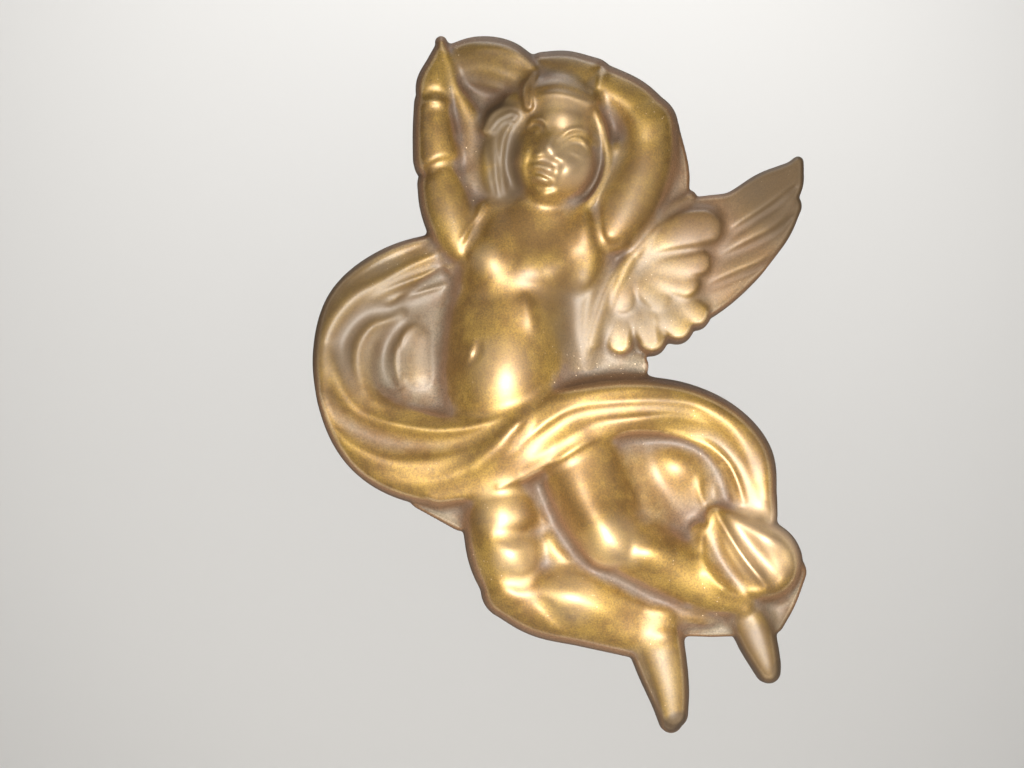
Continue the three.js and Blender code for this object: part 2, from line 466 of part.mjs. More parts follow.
function face(r) {
  // brow, cheeks, jaw
  r.swell(18, 283, 30, 20, -14, 14);
  r.swell(23, 217, 20, 18, -10, 12);
  r.swell(-22, 229, 11, 18, -12, 7);
  r.swell(1, 191, 14, 9, -10, 4);
  r.ridge([[14, 229, 4, -1], [11, 217, 5, -4], [8, 203, 5, -3]]);
  r.ridge([[-15, 231, 4, -1], [-17, 219, 4, -3], [-14, 205, 4, -2]]);
  // eyes
  r.swell(-7, 257, 10, 8, -20, -6);
  r.swell(32, 241, 14, 9, -26, -6);
  r.swell(-8, 257, 5, 4.5, -20, 4);
  r.swell(32, 238, 9, 5, -26, 4);
  r.ridge([[-18, 260, 2.4, 1], [-12, 267, 2.4, 4], [-3, 267, 2.4, 4], [3, 258, 2.4, 1]]);
  r.ridge([[14, 248, 2.6, 1], [26, 257, 2.6, 3], [40, 256, 2.6, 3], [51, 241, 2.6, 1]]);
  r.ridge([[17, 241, 2.2, 1], [27, 248, 2.2, 3], [38, 246, 2.2, 3], [47, 233, 2.2, 1]]);
  r.ridge([[21, 236, 2, 0], [30, 234, 2, 2], [41, 228, 2, 1]]);
  // nose
  r.ridge([[11, 261, 8, 0], [7, 251, 8, 3], [4, 243, 8, 4]]);
  r.swell(3, 238, 9, 8, -20, 6);
  r.swell(-7, 232, 5, 4.5, 0, 4);
  r.swell(12, 229, 5, 4.5, 0, 4);
  r.ridge([[-10, 227, 4, -1], [-1, 227, 4, -2.5], [7, 224, 4, -2.5], [15, 222, 4, -1]]);
  // mouth
  r.swell(-2, 215, 13, 12, -18, 6);
  r.ridge([[-14, 220, 3.4, 1], [-7, 221, 3.6, 2.5], [-1, 219, 3.6, 2], [5, 217, 3.6, 2.5],
        [10, 213, 3.4, 1]]);
  r.ridge([[-13, 215, 3, -1], [-5, 215, 3.2, -4.5], [2, 212, 3.2, -4.5], [8, 209, 3, -1]]);
  r.ridge([[-12, 210, 3, 1], [-5, 208, 3.6, 3], [2, 206, 3.4, 2.5], [7, 206, 3, 1]]);
  r.ridge([[-12, 202, 4, 0], [-4, 200, 4.5, -2], [5, 199, 4, -1]]);
  r.swell(-3, 191, 13, 9, -16, 2.5);
}

function carveFigure() {
  const relief = new Relief(carvingStep / square);
  webs(relief);
  wing(relief);
  loop(relief);
  torso(relief);
  legs(relief);
  arms(relief);
  head(relief);
  hipCloth(relief);
  tail(relief);
  relief.fill(creaseFilling / square);
  face(relief);
  relief.soften(softening / square);
  return relief;
}

// Front surface, rim and flat back as one closed mesh
function closedMesh(relief) {
  const { heights, columns, rows, step } = relief;
  const level = rimThickness / crestSquare;
  const points = [];
  const faces = [];
  const known = new Map();
  const place = (key, x, z, h) => {
    if (!known.has(key)) {
      known.set(key, points.length);
      const [across, up] = placed(x, z, h);
      points.push(new THREE.Vector3(across * square, -h * crestSquare, up * square));
      points.push(new THREE.Vector3(across * square, 0, up * square));
    }
    return known.get(key);
  };
  const spot = (n) => [sheet.left + (n % columns) * step, sheet.bottom + Math.floor(n / columns) * step];
  const inside = (n) => heights[n] > level;
  const corner = (n) => place(`${n}`, ...spot(n), heights[n]);
  const crossing = (m, n) => {
    const [a, b] = m < n ? [m, n] : [n, m];
    const t = THREE.MathUtils.clamp((level - heights[a]) / (heights[b] - heights[a]), 0.02, 0.98);
    const [[ax, az], [bx, bz]] = [spot(a), spot(b)];
    return place(`${a} ${b}`, ax + (bx - ax) * t, az + (bz - az) * t, level);
  };
  for (let j = 0; j < rows - 1; j += 1) {
    for (let i = 0; i < columns - 1; i += 1) {
      const n = j * columns + i;
      for (const cell of [[n, n + 1, n + 1 + columns], [n, n + 1 + columns, n + columns]]) {
        const face = [];
        const rim = {};
        cell.forEach((a, k) => {
          const b = cell[(k + 1) % 3];
          if (inside(a)) face.push(corner(a));
          if (inside(a) !== inside(b)) {
            face.push(crossing(a, b));
            rim[inside(a) ? 'from' : 'to'] = face[face.length - 1];
          }
        });
        for (let k = 2; k < face.length; k += 1) {
          faces.push([face[0], face[k - 1], face[k]]);
          faces.push([face[0] + 1, face[k] + 1, face[k - 1] + 1]);
        }
        if ('from' in rim) {
          faces.push([rim.to, rim.from, rim.from + 1]);
          faces.push([rim.to, rim.from + 1, rim.to + 1]);
        }
      }
    }
  }
  return { points, faces };
}

// Squared distances to the planes round every point, weighted by their area, as 4 by 4 symmetric matrices
function planeSums(points, faces) {
  const sums = points.map(() => new Float64Array(10));
  for (const face of faces) {
    const [a, b, c] = face.map((n) => points[n]);
    const normal = b.clone().sub(a).cross(c.clone().sub(a));
    const area = normal.length() / 2;
    normal.normalize();
    const plane = [normal.x, normal.y, normal.z, -normal.dot(a)];
    for (const n of face) {
      let k = 0;
      for (let i = 0; i < 4; i += 1) {
        for (let j = i; j < 4; j += 1) {
          sums[n][k] += area * plane[i] * plane[j];
          k += 1;
        }
      }
    }
  }
  return sums;
}

function misfit(q, { x, y, z }) {
  return q[0] * x * x + q[4] * y * y + q[7] * z * z + q[9]
    + 2 * (q[1] * x * y + q[2] * x * z + q[3] * x + q[5] * y * z + q[6] * y + q[8] * z);
}

// Merges neighbouring points, the least noticed first, until few enough triangles are left
function thinned(points, faces, limit) {
  const sums = planeSums(points, faces);
  const around = points.map(() => new Set());
  faces.forEach((face, f) => face.forEach((n) => around[n].add(f)));
  let left = faces.length;
  const ring = (n) => new Set([...around[n]].flatMap((f) => faces[f]).filter((m) => m !== n));
  const [u, v, was, is] = Array.from({ length: 4 }, () => new THREE.Vector3());
  const normal = (out, a, b, c) => out.copy(u.copy(b).sub(a).cross(v.copy(c).sub(a)));
  const keepsShape = (from, to) => {
    const ringTo = ring(to);
    if ([...ring(from)].filter((n) => ringTo.has(n)).length !== 2) return false;
    for (const f of around[from]) {
      if (faces[f].includes(to)) continue;
      normal(was, ...faces[f].map((n) => points[n]));
      normal(is, ...faces[f].map((n) => points[n === from ? to : n]));
      if (is.dot(was) < 0.35 * is.length() * was.length() || is.length() < 1e-3) return false;
    }
    return true;
  };
  while (left > limit) {
    const edges = [];
    faces.forEach((face) => {
      if (!face) return;
      face.forEach((a, k) => {
        const b = face[(k + 1) % 3];
        if (a > b) return;
        const q = sums[a].map((value, n) => value + sums[b][n]);
        const size = 2e-3 * points[a].distanceToSquared(points[b]);
        const [atA, atB] = [misfit(q, points[a]), misfit(q, points[b])];
        edges.push(atA < atB ? { from: b, to: a, cost: atA + size } : { from: a, to: b, cost: atB + size });
      });
    });
    edges.sort((p, q) => p.cost - q.cost);
    const highest = edges[Math.floor(edges.length / 5)].cost;
    const touched = new Set();
    for (const { from, to, cost } of edges) {
      if (left <= limit || cost > highest) break;
      if (touched.has(from) || touched.has(to) || !keepsShape(from, to)) continue;
      for (const f of [...around[from]]) {
        around[from].delete(f);
        if (faces[f].includes(to)) {
          faces[f].forEach((n) => around[n].delete(f));
          faces[f] = null;
          left -= 1;
        } else {
          faces[f] = faces[f].map((n) => (n === from ? to : n));
          around[to].add(f);
        }
      }
      sums[from].forEach((value, n) => { sums[to][n] += value; });
      ring(to).forEach((n) => touched.add(n));
      touched.add(to);
    }
  }
  return faces.filter((face) => face);
}

const wasm = await Module();
wasm.setup();

function solidOf(geometry) {
  return new wasm.Manifold(new wasm.Mesh({
    numProp: 3,
    vertProperties: geometry.getAttribute('position').array,
    triVerts: Uint32Array.from(geometry.getIndex().array),
  }));
}

function geometryOf(solid) {
  const mesh = solid.getMesh();
  const geometry = new THREE.BufferGeometry();
  geometry.setAttribute('position', new THREE.BufferAttribute(Float32Array.from(mesh.vertProperties), 3));
  geometry.setIndex(Array.from(mesh.triVerts));
  geometry.computeVertexNormals();
  return geometry;
}

function castGeometry() {
  const { points, faces } = closedMesh(carveFigure());
  const kept = thinned(points, faces, trianglesKept);
  const geometry = new THREE.BufferGeometry().setFromPoints(points);
  geometry.setIndex(kept.flat());
  return geometry;
}

// Round pocket in the back that drops over a nail or a screw head
function pocketGeometry() {
  const radius = nailPocketDiameter / 2;
  const drum = new THREE.CylinderGeometry(radius, radius, 2 * nailPocketDepth, 24);
  drum.translate(nailPocketAcross, 0, nailPocketHeight);
  drum.deleteAttribute('normal');
  drum.deleteAttribute('uv');
  return mergeVertices(drum, 1e-4);
}

const antiqueGold = new THREE.MeshStandardMaterial({ color: 0x8f7038, roughness: 0.42, metalness: 0.6 });

const cast = solidOf(castGeometry()).subtract(solidOf(pocketGeometry()));
const relief = new THREE.Mesh(geometryOf(cast), antiqueGold);
relief.name = 'cherub_relief';

const ornament = new THREE.Group();
ornament.name = 'angel_wall_ornament';
ornament.add(relief);

export default ornament;
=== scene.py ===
"""Angel wall ornament: a flying cherub in half-round relief, cast in plaster and painted antique gold.

The relief is a height over the wall, carved as whole arrays on a grid of drawing squares and then set
into place along the lines of sight of the drawing. The paint is a worn gold over a mauve brown ground.
"""
import math

import bmesh
import bpy
import numpy as np
from bpy.props import FloatProperty, FloatVectorProperty, PointerProperty
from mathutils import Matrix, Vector


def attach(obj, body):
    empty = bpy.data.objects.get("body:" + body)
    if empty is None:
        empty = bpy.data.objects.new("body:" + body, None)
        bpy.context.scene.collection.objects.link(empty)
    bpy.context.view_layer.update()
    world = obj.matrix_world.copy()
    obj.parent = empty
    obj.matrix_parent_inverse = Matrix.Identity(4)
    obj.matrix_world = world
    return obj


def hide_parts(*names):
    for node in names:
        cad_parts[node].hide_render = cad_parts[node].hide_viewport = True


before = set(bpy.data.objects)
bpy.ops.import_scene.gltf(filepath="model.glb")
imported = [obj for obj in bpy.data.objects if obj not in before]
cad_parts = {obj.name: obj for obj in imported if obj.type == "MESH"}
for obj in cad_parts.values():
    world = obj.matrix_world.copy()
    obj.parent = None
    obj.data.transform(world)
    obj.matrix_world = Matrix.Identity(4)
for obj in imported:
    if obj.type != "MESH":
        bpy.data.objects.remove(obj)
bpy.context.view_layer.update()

bl_info = {
    "name": "Angel wall ornament",
    "version": (1, 0, 0),
    "blender": (4, 5, 0),
    "location": "3D View > Sidebar > Ornament",
    "description": "Carves and paints a cast cherub in half-round relief",
    "category": "Add Mesh",
}

NODE = "cherub_relief"

# Drawing squares: the whole sheet, the closer grid at the face, and the eye that the drawing was made from
SHEET = {"left": -249.0, "right": 281.0, "bottom": -373.0, "top": 367.0}
FACE_WINDOW = {"left": -52.0, "right": 72.0, "bottom": 172.0, "top": 300.0}
GRID_STEP = 1.8
FACE_STEP = 1.1
VIEW_DISTANCE = 2036.0
VIEW_TILT = math.radians(-6.0)
VIEW_CENTRE = (-33.0, 3.0)
DRAWING_WIDTH = 1024.0

# Carving, in drawing squares: the highest crest, the depth where nothing is carved, how far a form's sides
# are followed, and the widths over which the paint looks for fine and broad hollows
HIGHEST_CREST = 91.0
FAR_BELOW = -60.0
SIDE_REACH = 30.0
FINE_WIDTH = 3.0
BROAD_WIDTH = 11.0
# Straight steps between two rows of a curve, and the widths after which a soft bump is down to nothing
CURVE_STEPS = 16
BELL_REACH = 3

# Casting: its height in metres and in squares, then lengths and a place on the back in metres
CASTING_HEIGHT = 0.26
CASTING_SQUARES = 694.4
CREASE_FILLING = 0.0019
SOFTENING = 0.0005
POCKET_PLACE = (0.004, 0.096)

# Mesh: sides of the pocket, the angle from which an edge is sharp, and the share of a cell's side that a
# cut keeps off its ends, so that no triangle is too thin
POCKET_SIDES = 24
SHARP_ANGLE = math.radians(60)
CUT_MARGIN = 0.02


# Carving

def curve(rows):
    """Smooth curve through the rows, with every column carried along: a cubic for each four rows."""
    rows = np.array(rows, float)
    if len(rows) == 2:
        t = np.linspace(0, 1, CURVE_STEPS + 1)[:, None]
        return rows[0] * (1 - t) + rows[1] * t
    ends = np.vstack([2 * rows[0] - rows[1], rows, 2 * rows[-1] - rows[-2]])
    t = np.linspace(0, 1, CURVE_STEPS, endpoint=False)[None, :, None]
    a, b, c, d = (ends[k:len(ends) - 3 + k, None, :] for k in range(4))
    square, cube = 2 * a - 5 * b + 4 * c - d, 3 * b - a - 3 * c + d
    path = 0.5 * (2 * b + (c - a) * t + square * t**2 + cube * t**3)
    return np.vstack([path.reshape(-1, rows.shape[1]), rows[-1:]])


def joined(a, b, fillet):
    """The larger of two heights, with a fillet where they are within that height of each other."""
    w = np.clip(0.5 + 0.5 * (b - a) / fillet, 0, 1)
    return a * (1 - w) + b * w + fillet * w * (1 - w)


def turned(dx, dz, rx, rz, degrees):
    """Ellipse coordinates of a point, turned counterclockwise."""
    c, s = math.cos(math.radians(degrees)), math.sin(math.radians(degrees))
    return (dx * c + dz * s) / rx, (-dx * s + dz * c) / rz


def grid_lines(low, high, near_low, near_high, step, near_step):
    """Grid lines from low to high, closer between the two near values."""
    parts = [
        np.linspace(low, near_low, round((near_low - low) / step), endpoint=False),
        np.linspace(near_low, near_high, round((near_high - near_low) / near_step), endpoint=False),
        np.linspace(near_high, high, round((high - near_high) / step)),
    ]
    return np.concatenate(parts)


class Relief:
    """Heights over the wall on a grid of drawing squares."""

    def __init__(self, side_slope):
        s, f = SHEET, FACE_WINDOW
        self.across = grid_lines(s["left"], s["right"], f["left"], f["right"], GRID_STEP, FACE_STEP)
        self.up = grid_lines(s["bottom"], s["top"], f["bottom"], f["top"], GRID_STEP, FACE_STEP)
        self.heights = np.full((len(self.up), len(self.across)), FAR_BELOW)
        self.side_slope = side_slope

    def dome(self, v, round_):
        """Drop below the crest, in half widths: an ellipse that runs on as a straight drafted side."""
        turn = self.side_slope / math.hypot(round_, self.side_slope)
        curved = round_ * (1 - np.sqrt(1 - np.minimum(v, turn) ** 2))
        return curved + self.side_slope * np.maximum(v - turn, 0)

    def window(self, points, margin):
        """The part of the grid round some points, and its coordinates."""
        low, high = points.min(0) - margin, points.max(0) + margin
        i0, i1 = np.searchsorted(self.across, [low[0], high[0]])
        j0, j1 = np.searchsorted(self.up, [low[1], high[1]])
        x, z = np.meshgrid(self.across[i0:i1], self.up[j0:j1])
        return (slice(j0, j1), slice(i0, i1)), x, z

    @staticmethod
    def pieces(path, x, z):
        """Share of the way, distance, side and both ends, for each straight piece of a path."""
        for a, b in zip(path[:-1], path[1:]):
            way = b[:2] - a[:2]
            length = max(way @ way, 1e-9)
            t = np.clip(((x - a[0]) * way[0] + (z - a[1]) * way[1]) / length, 0, 1)
            dx, dz = x - a[0] - t * way[0], z - a[1] - t * way[1]
            yield t, np.hypot(dx, dz), (dz * way[0] - dx * way[1]) / math.sqrt(length), a, b

    def nearest(self, path, x, z):
        """Distance, side, share of the way along and carried columns at the nearest point of a path."""
        distance = np.full(x.shape, np.inf)
        side, along = np.zeros(x.shape), np.zeros(x.shape)
        carried = [np.zeros(x.shape) for _ in path[0][2:]]
        for k, (t, away, off, a, b) in enumerate(self.pieces(path, x, z)):
            near = away < distance
            distance = np.where(near, away, distance)
            side = np.where(near, off, side)
            along = np.where(near, (k + t) / (len(path) - 1), along)
            carried = [np.where(near, p + (q - p) * t, c) for p, q, c in zip(a[2:], b[2:], carried)]
        return distance, side, along, carried

    def limb(self, rows, round_, fillet):
        """Rounded form along rows of across, up, half width and crest.

        Its height is crest - half width * dome(distance / half width).
        """
        path = curve(rows)
        part, x, z = self.window(path[:, :2], path[:, 2].max() + SIDE_REACH)
        best = np.full(x.shape, FAR_BELOW)
        for t, away, _, a, b in self.pieces(path, x, z):
            half = a[2] + (b[2] - a[2]) * t
            crest = a[3] + (b[3] - a[3]) * t
            best = np.maximum(best, crest - half * self.dome(away / half, round_))
        self.heights[part] = joined(self.heights[part], best, fillet)

    def blob(self, x, z, rx, rz, degrees, crest, round_, fillet=4.0):
        """Rounded cap on an ellipse: crest - mean radius * dome(ellipse distance)."""
        part, gx, gz = self.window(np.array([[x, z]]), max(rx, rz) + SIDE_REACH)
        u, v = turned(gx - x, gz - z, rx, rz, degrees)
        cap = crest - math.sqrt(rx * rz) * self.dome(np.hypot(u, v), round_)
        self.heights[part] = joined(self.heights[part], cap, fillet)

    def swell(self, x, z, rx, rz, degrees, amount):
        """Soft bump or hollow with no edge: amount * exp(-ellipse distance squared)."""
        part, gx, gz = self.window(np.array([[x, z]]), BELL_REACH * max(rx, rz))
        u, v = turned(gx - x, gz - z, rx, rz, degrees)
        self.heights[part] += amount * np.exp(-u * u - v * v)

    def ridge(self, rows, right=1.0):
        """Ridge or groove along rows of across, up, width and amount.

        It adds amount * exp(-(distance / width) squared). The width on the right hand of the way is scaled
        by right, so a small value makes a step there.
        """
        path = curve(rows)
        part, x, z = self.window(path[:, :2], BELL_REACH * path[:, 2].max())
        distance, side, _, (width, amount) = self.nearest(path, x, z)
        width = np.where(side < 0, width * right, width)
        self.heights[part] += amount * np.exp(-((distance / width) ** 2))

    def strands(self, rows, count, amount):
        """Combs a band along rows of across, up and half width into locks.

        It adds amount * (|sin(count * pi * share of the band's width)| - 0.6), faded out over the outer
        quarter of each half and over a fifth of the way at each end.
        """
        path = curve(rows)
        part, x, z = self.window(path[:, :2], path[:, 2].max() + 2)
        _, side, along, (half,) = self.nearest(path, x, z)
        v = side / half
        inside = np.clip((1 - np.abs(v)) * 4, 0, 1) * np.clip(np.minimum(along, 1 - along) * 5, 0, 1)
        self.heights[part] += amount * inside * (np.abs(np.sin(np.pi * count * (v + 1) / 2)) - 0.6)

    def blurred(self, values, width):
        """Gaussian mean of the grid values over a width in squares, as one matrix for each direction."""
        out = values
        for lines, axis in ((self.up, 0), (self.across, 1)):
            spacing = np.gradient(lines)
            weights = np.exp(-0.5 * ((lines[:, None] - lines[None, :]) / width) ** 2) * spacing[None, :]
            weights /= weights.sum(1, keepdims=True)
            out = weights @ out if axis == 0 else out @ weights.T
        return out

    def fill(self, width):
        """Fills sharp hollows up to the mean round them, and leaves crests and the outline as they are."""
        mean = self.blurred(self.heights, width)
        self.heights = np.where(self.heights > 0, np.maximum(self.heights, mean), self.heights)

    def soften(self, width):
        """Rounds every edge a little, as casting and painting do."""
        self.heights = self.blurred(self.heights, width)

    def hollow(self, width):
        """How far the surface lies below its own mean over a width: negative on crests."""
        inside = np.maximum(self.heights, 0)
        weight = (self.heights > 0).astype(float)
        mean = self.blurred(inside * weight, width) / np.maximum(self.blurred(weight, width), 1e-3)
        return mean - inside


# Forms: rows are across, up, half width and crest, in squares

def webs(r):
    """Low plaster between the limbs and folds."""
    r.blob(-58, 287, 44, 28, 0, 30, 0.1)
    r.limb([[-67, 277, 24, 30], [-57, 227, 26, 32], [-45, 182, 24, 34]], 0.1, 6)
    r.blob(75, 259, 19, 24, 0, 44, 0.2, 6)
    r.limb([[119, 257, 15, 30], [127, 212, 17, 31], [117, 172, 22, 32]], 0.3, 6)
    r.blob(-131, 49, 62, 74, 0, 29, 0.1, 6)
    r.blob(-100, -18, 60, 24, 0, 31, 0.1, 6)
    r.limb([[47, 57, 20, 34], [59, 29, 22, 32], [89, 21, 14, 29]], 0.25, 5)
    r.blob(127, -83, 84, 62, -14, 42, 0.2, 8)
    r.limb([[53, -53, 46, 56], [75, -113, 46, 57], [110, -161, 40, 52]], 1, 20)
    r.limb([[145, -235, 14, 27], [167, -237, 13, 26], [190, -235, 14, 27]], 0.2, 5)
    r.limb([[245, -185, 16, 30], [239, -213, 12, 28], [228, -235, 11, 28]], 0.3, 6)
    r.limb([[-120, -105, 18, 28], [-83, -125, 18, 30]], 0.3, 6)
    r.limb([[-15, -103, 18, 42], [0, -138, 20, 46], [15, -169, 20, 48], [55, -197, 22, 46]], 0.3, 6)
    r.limb([[55, -197, 22, 46], [110, -219, 18, 40], [163, -225, 14, 34]], 0.3, 6)


def wing(r):
    """Wing behind the shoulder: long feathers, two rows of short ones and the smooth arm."""
    r.limb([[95, 162, 14, 32], [155, 159, 30, 35], [193, 165, 30, 36], [223, 189, 25, 34],
        [239, 203, 18, 32], [248, 215, 10, 30], [253, 225, 5, 28]], 0.2, 4)
    r.limb([[67, 61, 20, 34], [105, 83, 35, 37], [150, 105, 37, 37], [190, 131, 31, 34],
        [223, 159, 22, 32], [243, 181, 13, 30]], 0.2, 4)
    # flight feathers, each a little raised along its lower edge, with a groove after it
    r.ridge([[180, 154, 12, 1], [200, 167, 14, 3], [227, 185, 13, 3], [249, 204, 8, 1]], 0.3)
    r.ridge([[167, 128, 12, 1], [198, 143, 14, 3], [228, 159, 12, 3], [248, 175, 8, 1]], 0.3)
    r.ridge([[160, 102, 12, 1], [192, 115, 13, 3], [218, 126, 11, 3], [237, 142, 7, 1]], 0.3)
    r.ridge([[182, 150, 3.5, -1], [202, 163, 3.5, -5], [229, 181, 3.5, -5], [251, 200, 3, -2]])
    r.ridge([[169, 124, 3.5, -1], [200, 139, 3.5, -5], [230, 155, 3.5, -5], [249, 171, 3, -2]])
    r.ridge([[161, 98, 3.5, -1], [193, 111, 3.5, -5], [219, 122, 3.5, -5], [237, 137, 3, -2]])
    # second row of short feathers
    r.limb([[115, 95, 10, 39], [135, 84, 12, 42], [152, 73, 12, 41]], 0.2, 2)
    r.limb([[99, 91, 10, 39], [117, 75, 13, 43], [133, 61, 14, 42]], 0.2, 2)
    r.limb([[85, 87, 9, 39], [98, 67, 13, 42], [107, 49, 14, 41]], 0.2, 2)
    r.limb([[71, 81, 8, 38], [73, 62, 12, 41], [75, 46, 13, 40]], 0.2, 2)
    r.ridge([[105, 79, 3, 1], [110, 62, 4, 1.5], [112, 45, 3, 1]])
    r.ridge([[83, 75, 3, 1], [84, 59, 3, 1.5], [82, 41, 3, 1]])
    # coverts over them
    r.limb([[83, 111, 8, 42], [79, 97, 11, 45], [78, 86, 12, 44]], 0.2, 2)
    r.limb([[89, 111, 9, 42], [102, 99, 12, 45], [113, 89, 13, 45]], 0.2, 2)
    r.limb([[95, 116, 9, 43], [119, 109, 12, 46], [141, 103, 13, 46]], 0.2, 2)
    r.limb([[101, 125, 9, 44], [123, 125, 13, 47], [145, 125, 14, 48], [152, 125, 14, 47]], 0.2, 2)
    r.limb([[101, 137, 12, 46], [121, 147, 17, 50], [143, 156, 20, 52], [158, 159, 19, 51]], 0.3, 4)
    r.ridge([[109, 131, 3, -1], [131, 135, 3, -4], [155, 139, 3, -4], [173, 146, 3, -1]])
    # smooth arm of the wing along the body
    r.limb([[145, 190, 5, 36], [127, 179, 6, 42], [107, 158, 7, 47], [83, 125, 8, 48],
        [67, 95, 8, 45], [56, 62, 8, 41], [51, 45, 8, 38]], 0.8, 8)


def torso(r):
    """Chest, belly, side and navel."""
    r.limb([[-5, 167, 50, 62], [-21, 125, 68, 70], [-29, 87, 68, 72], [-37, 42, 69, 75],
        [-39, -5, 69, 74], [-39, -33, 67, 72]], 0.9, 6)
    r.limb([[-59, 173, 16, 54], [-48, 141, 34, 64]], 0.8, 14)
    r.limb([[41, 177, 12, 56], [37, 153, 22, 64], [21, 125, 34, 65]], 0.8, 14)
    r.limb([[45, 135, 28, 55], [33, 95, 38, 52], [25, 59, 38, 49], [19, 25, 34, 47]], 1, 20)
    r.swell(40, 161, 11, 22, 14, 3)
    # chest
    r.swell(-65, 125, 28, 24, 10, 9)
    r.swell(-5, 119, 34, 22, -8, 6)
    r.swell(-34, 137, 12, 28, -12, -3)
    r.swell(-63, 95, 30, 11, -4, -3)
    r.swell(-1, 95, 26, 11, -14, -3)
    # ribs and waist
    r.ridge([[-25, 97, 9, 0], [-19, 85, 9, 4], [-14, 69, 9, 4], [-5, 49, 9, 0]])
    r.ridge([[43, 137, 12, -1], [29, 102, 14, -6], [24, 62, 16, -7], [30, 17, 14, -6]])
    r.swell(-67, 75, 20, 22, 0, -2)
    # belly
    r.swell(-39, 25, 46, 50, 10, 8)
    r.swell(-47, 7, 42, 32, 10, 5)
    r.swell(-89, -1, 12, 22, -14, -3)
    r.ridge([[-66, 49, 3, 0], [-67, 39, 3, -5], [-69, 31, 3, -6], [-74, 25, 3, -2]])
    r.swell(-75, 35, 6, 9, -12, 3)


def legs(r):
    """Crossed legs with their rolls, knees and pointed feet."""
    # far thigh with its rolls
    r.limb([[-42, -103, 34, 60], [-43, -133, 37, 65], [-39, -165, 37, 66], [-32, -195, 31, 62]], 0.95, 12)
    r.swell(-44, -123, 32, 22, 0, 7)
    r.swell(-32, -166, 30, 21, -10, 9)
    r.swell(-18, -128, 12, 14, 0, 3)
    r.ridge([[-53, -197, 15, 0], [-39, -203, 16, 3], [-24, -212, 16, 3], [-9, -217, 14, 1]])
    r.ridge([[-55, -149, 8, 0], [-35, -149, 9, -5], [-15, -146, 8, -7], [1, -142, 6, -3]])
    r.ridge([[-49, -185, 8, 0], [-35, -193, 9, -4], [-21, -197, 9, -6], [-8, -190, 7, -6],
        [1, -179, 6, -3]])
    # its calf
    r.limb([[-35, -203, 27, 58], [0, -213, 36, 62], [40, -219, 39, 62], [75, -233, 33, 55],
        [100, -247, 25, 47]], 0.8, 10)
    r.swell(24, -207, 30, 21, -14, 10)
    r.swell(59, -222, 24, 15, -20, 4)
    r.ridge([[-13, -209, 6, 0], [1, -219, 6, -3], [15, -233, 7, -4], [30, -243, 7, 0]])
    # its foot
    r.limb([[107, -247, 26, 44], [115, -281, 21, 41], [123, -313, 15, 38], [126, -335, 10, 34]], 0.5, 8)
    r.limb([[111, -237, 22, 46], [119, -268, 20, 47], [126, -301, 16, 46], [129, -327, 12, 43]], 0.6, 10)
    r.swell(123, -249, 14, 10, 0, 3)
    # near thigh, knee and calf
    r.limb([[28, -43, 42, 77], [37, -83, 41, 79], [50, -118, 39, 80], [60, -143, 33, 79],
        [63, -156, 25, 80]], 0.8, 16)
    r.limb([[63, -149, 30, 77], [100, -166, 32, 73], [137, -185, 30, 66], [170, -203, 23, 56],
        [197, -216, 14, 48]], 0.9, 14)
    r.swell(35, -103, 18, 30, 24, 4)
    r.swell(55, -133, 24, 20, -30, 5)
    r.swell(61, -153, 34, 28, -30, 6)
    r.swell(107, -164, 32, 22, -20, 9)
    r.ridge([[105, -125, 10, 0], [97, -140, 12, -5], [89, -158, 11, -3], [81, -177, 9, 0]])
    r.ridge([[-5, -99, 9, 0], [6, -123, 10, -4], [21, -149, 10, -5], [37, -165, 9, -3]])
    # second foot
    r.limb([[201, -221, 20, 41], [212, -251, 18, 43], [221, -275, 13, 42], [224, -285, 10, 40]], 0.8, 8)
    r.ridge([[197, -227, 7, 0], [213, -231, 9, 2], [225, -253, 9, 2], [229, -281, 8, 1]])
    # worn web between the legs
    r.ridge([[-14, -103, 10, 2], [-2, -131, 13, 5], [10, -158, 14, 5], [23, -175, 13, 5],
        [45, -190, 13, 5], [77, -207, 12, 5], [110, -221, 10, 5], [145, -228, 9, 4],
        [173, -228, 6, 1]])


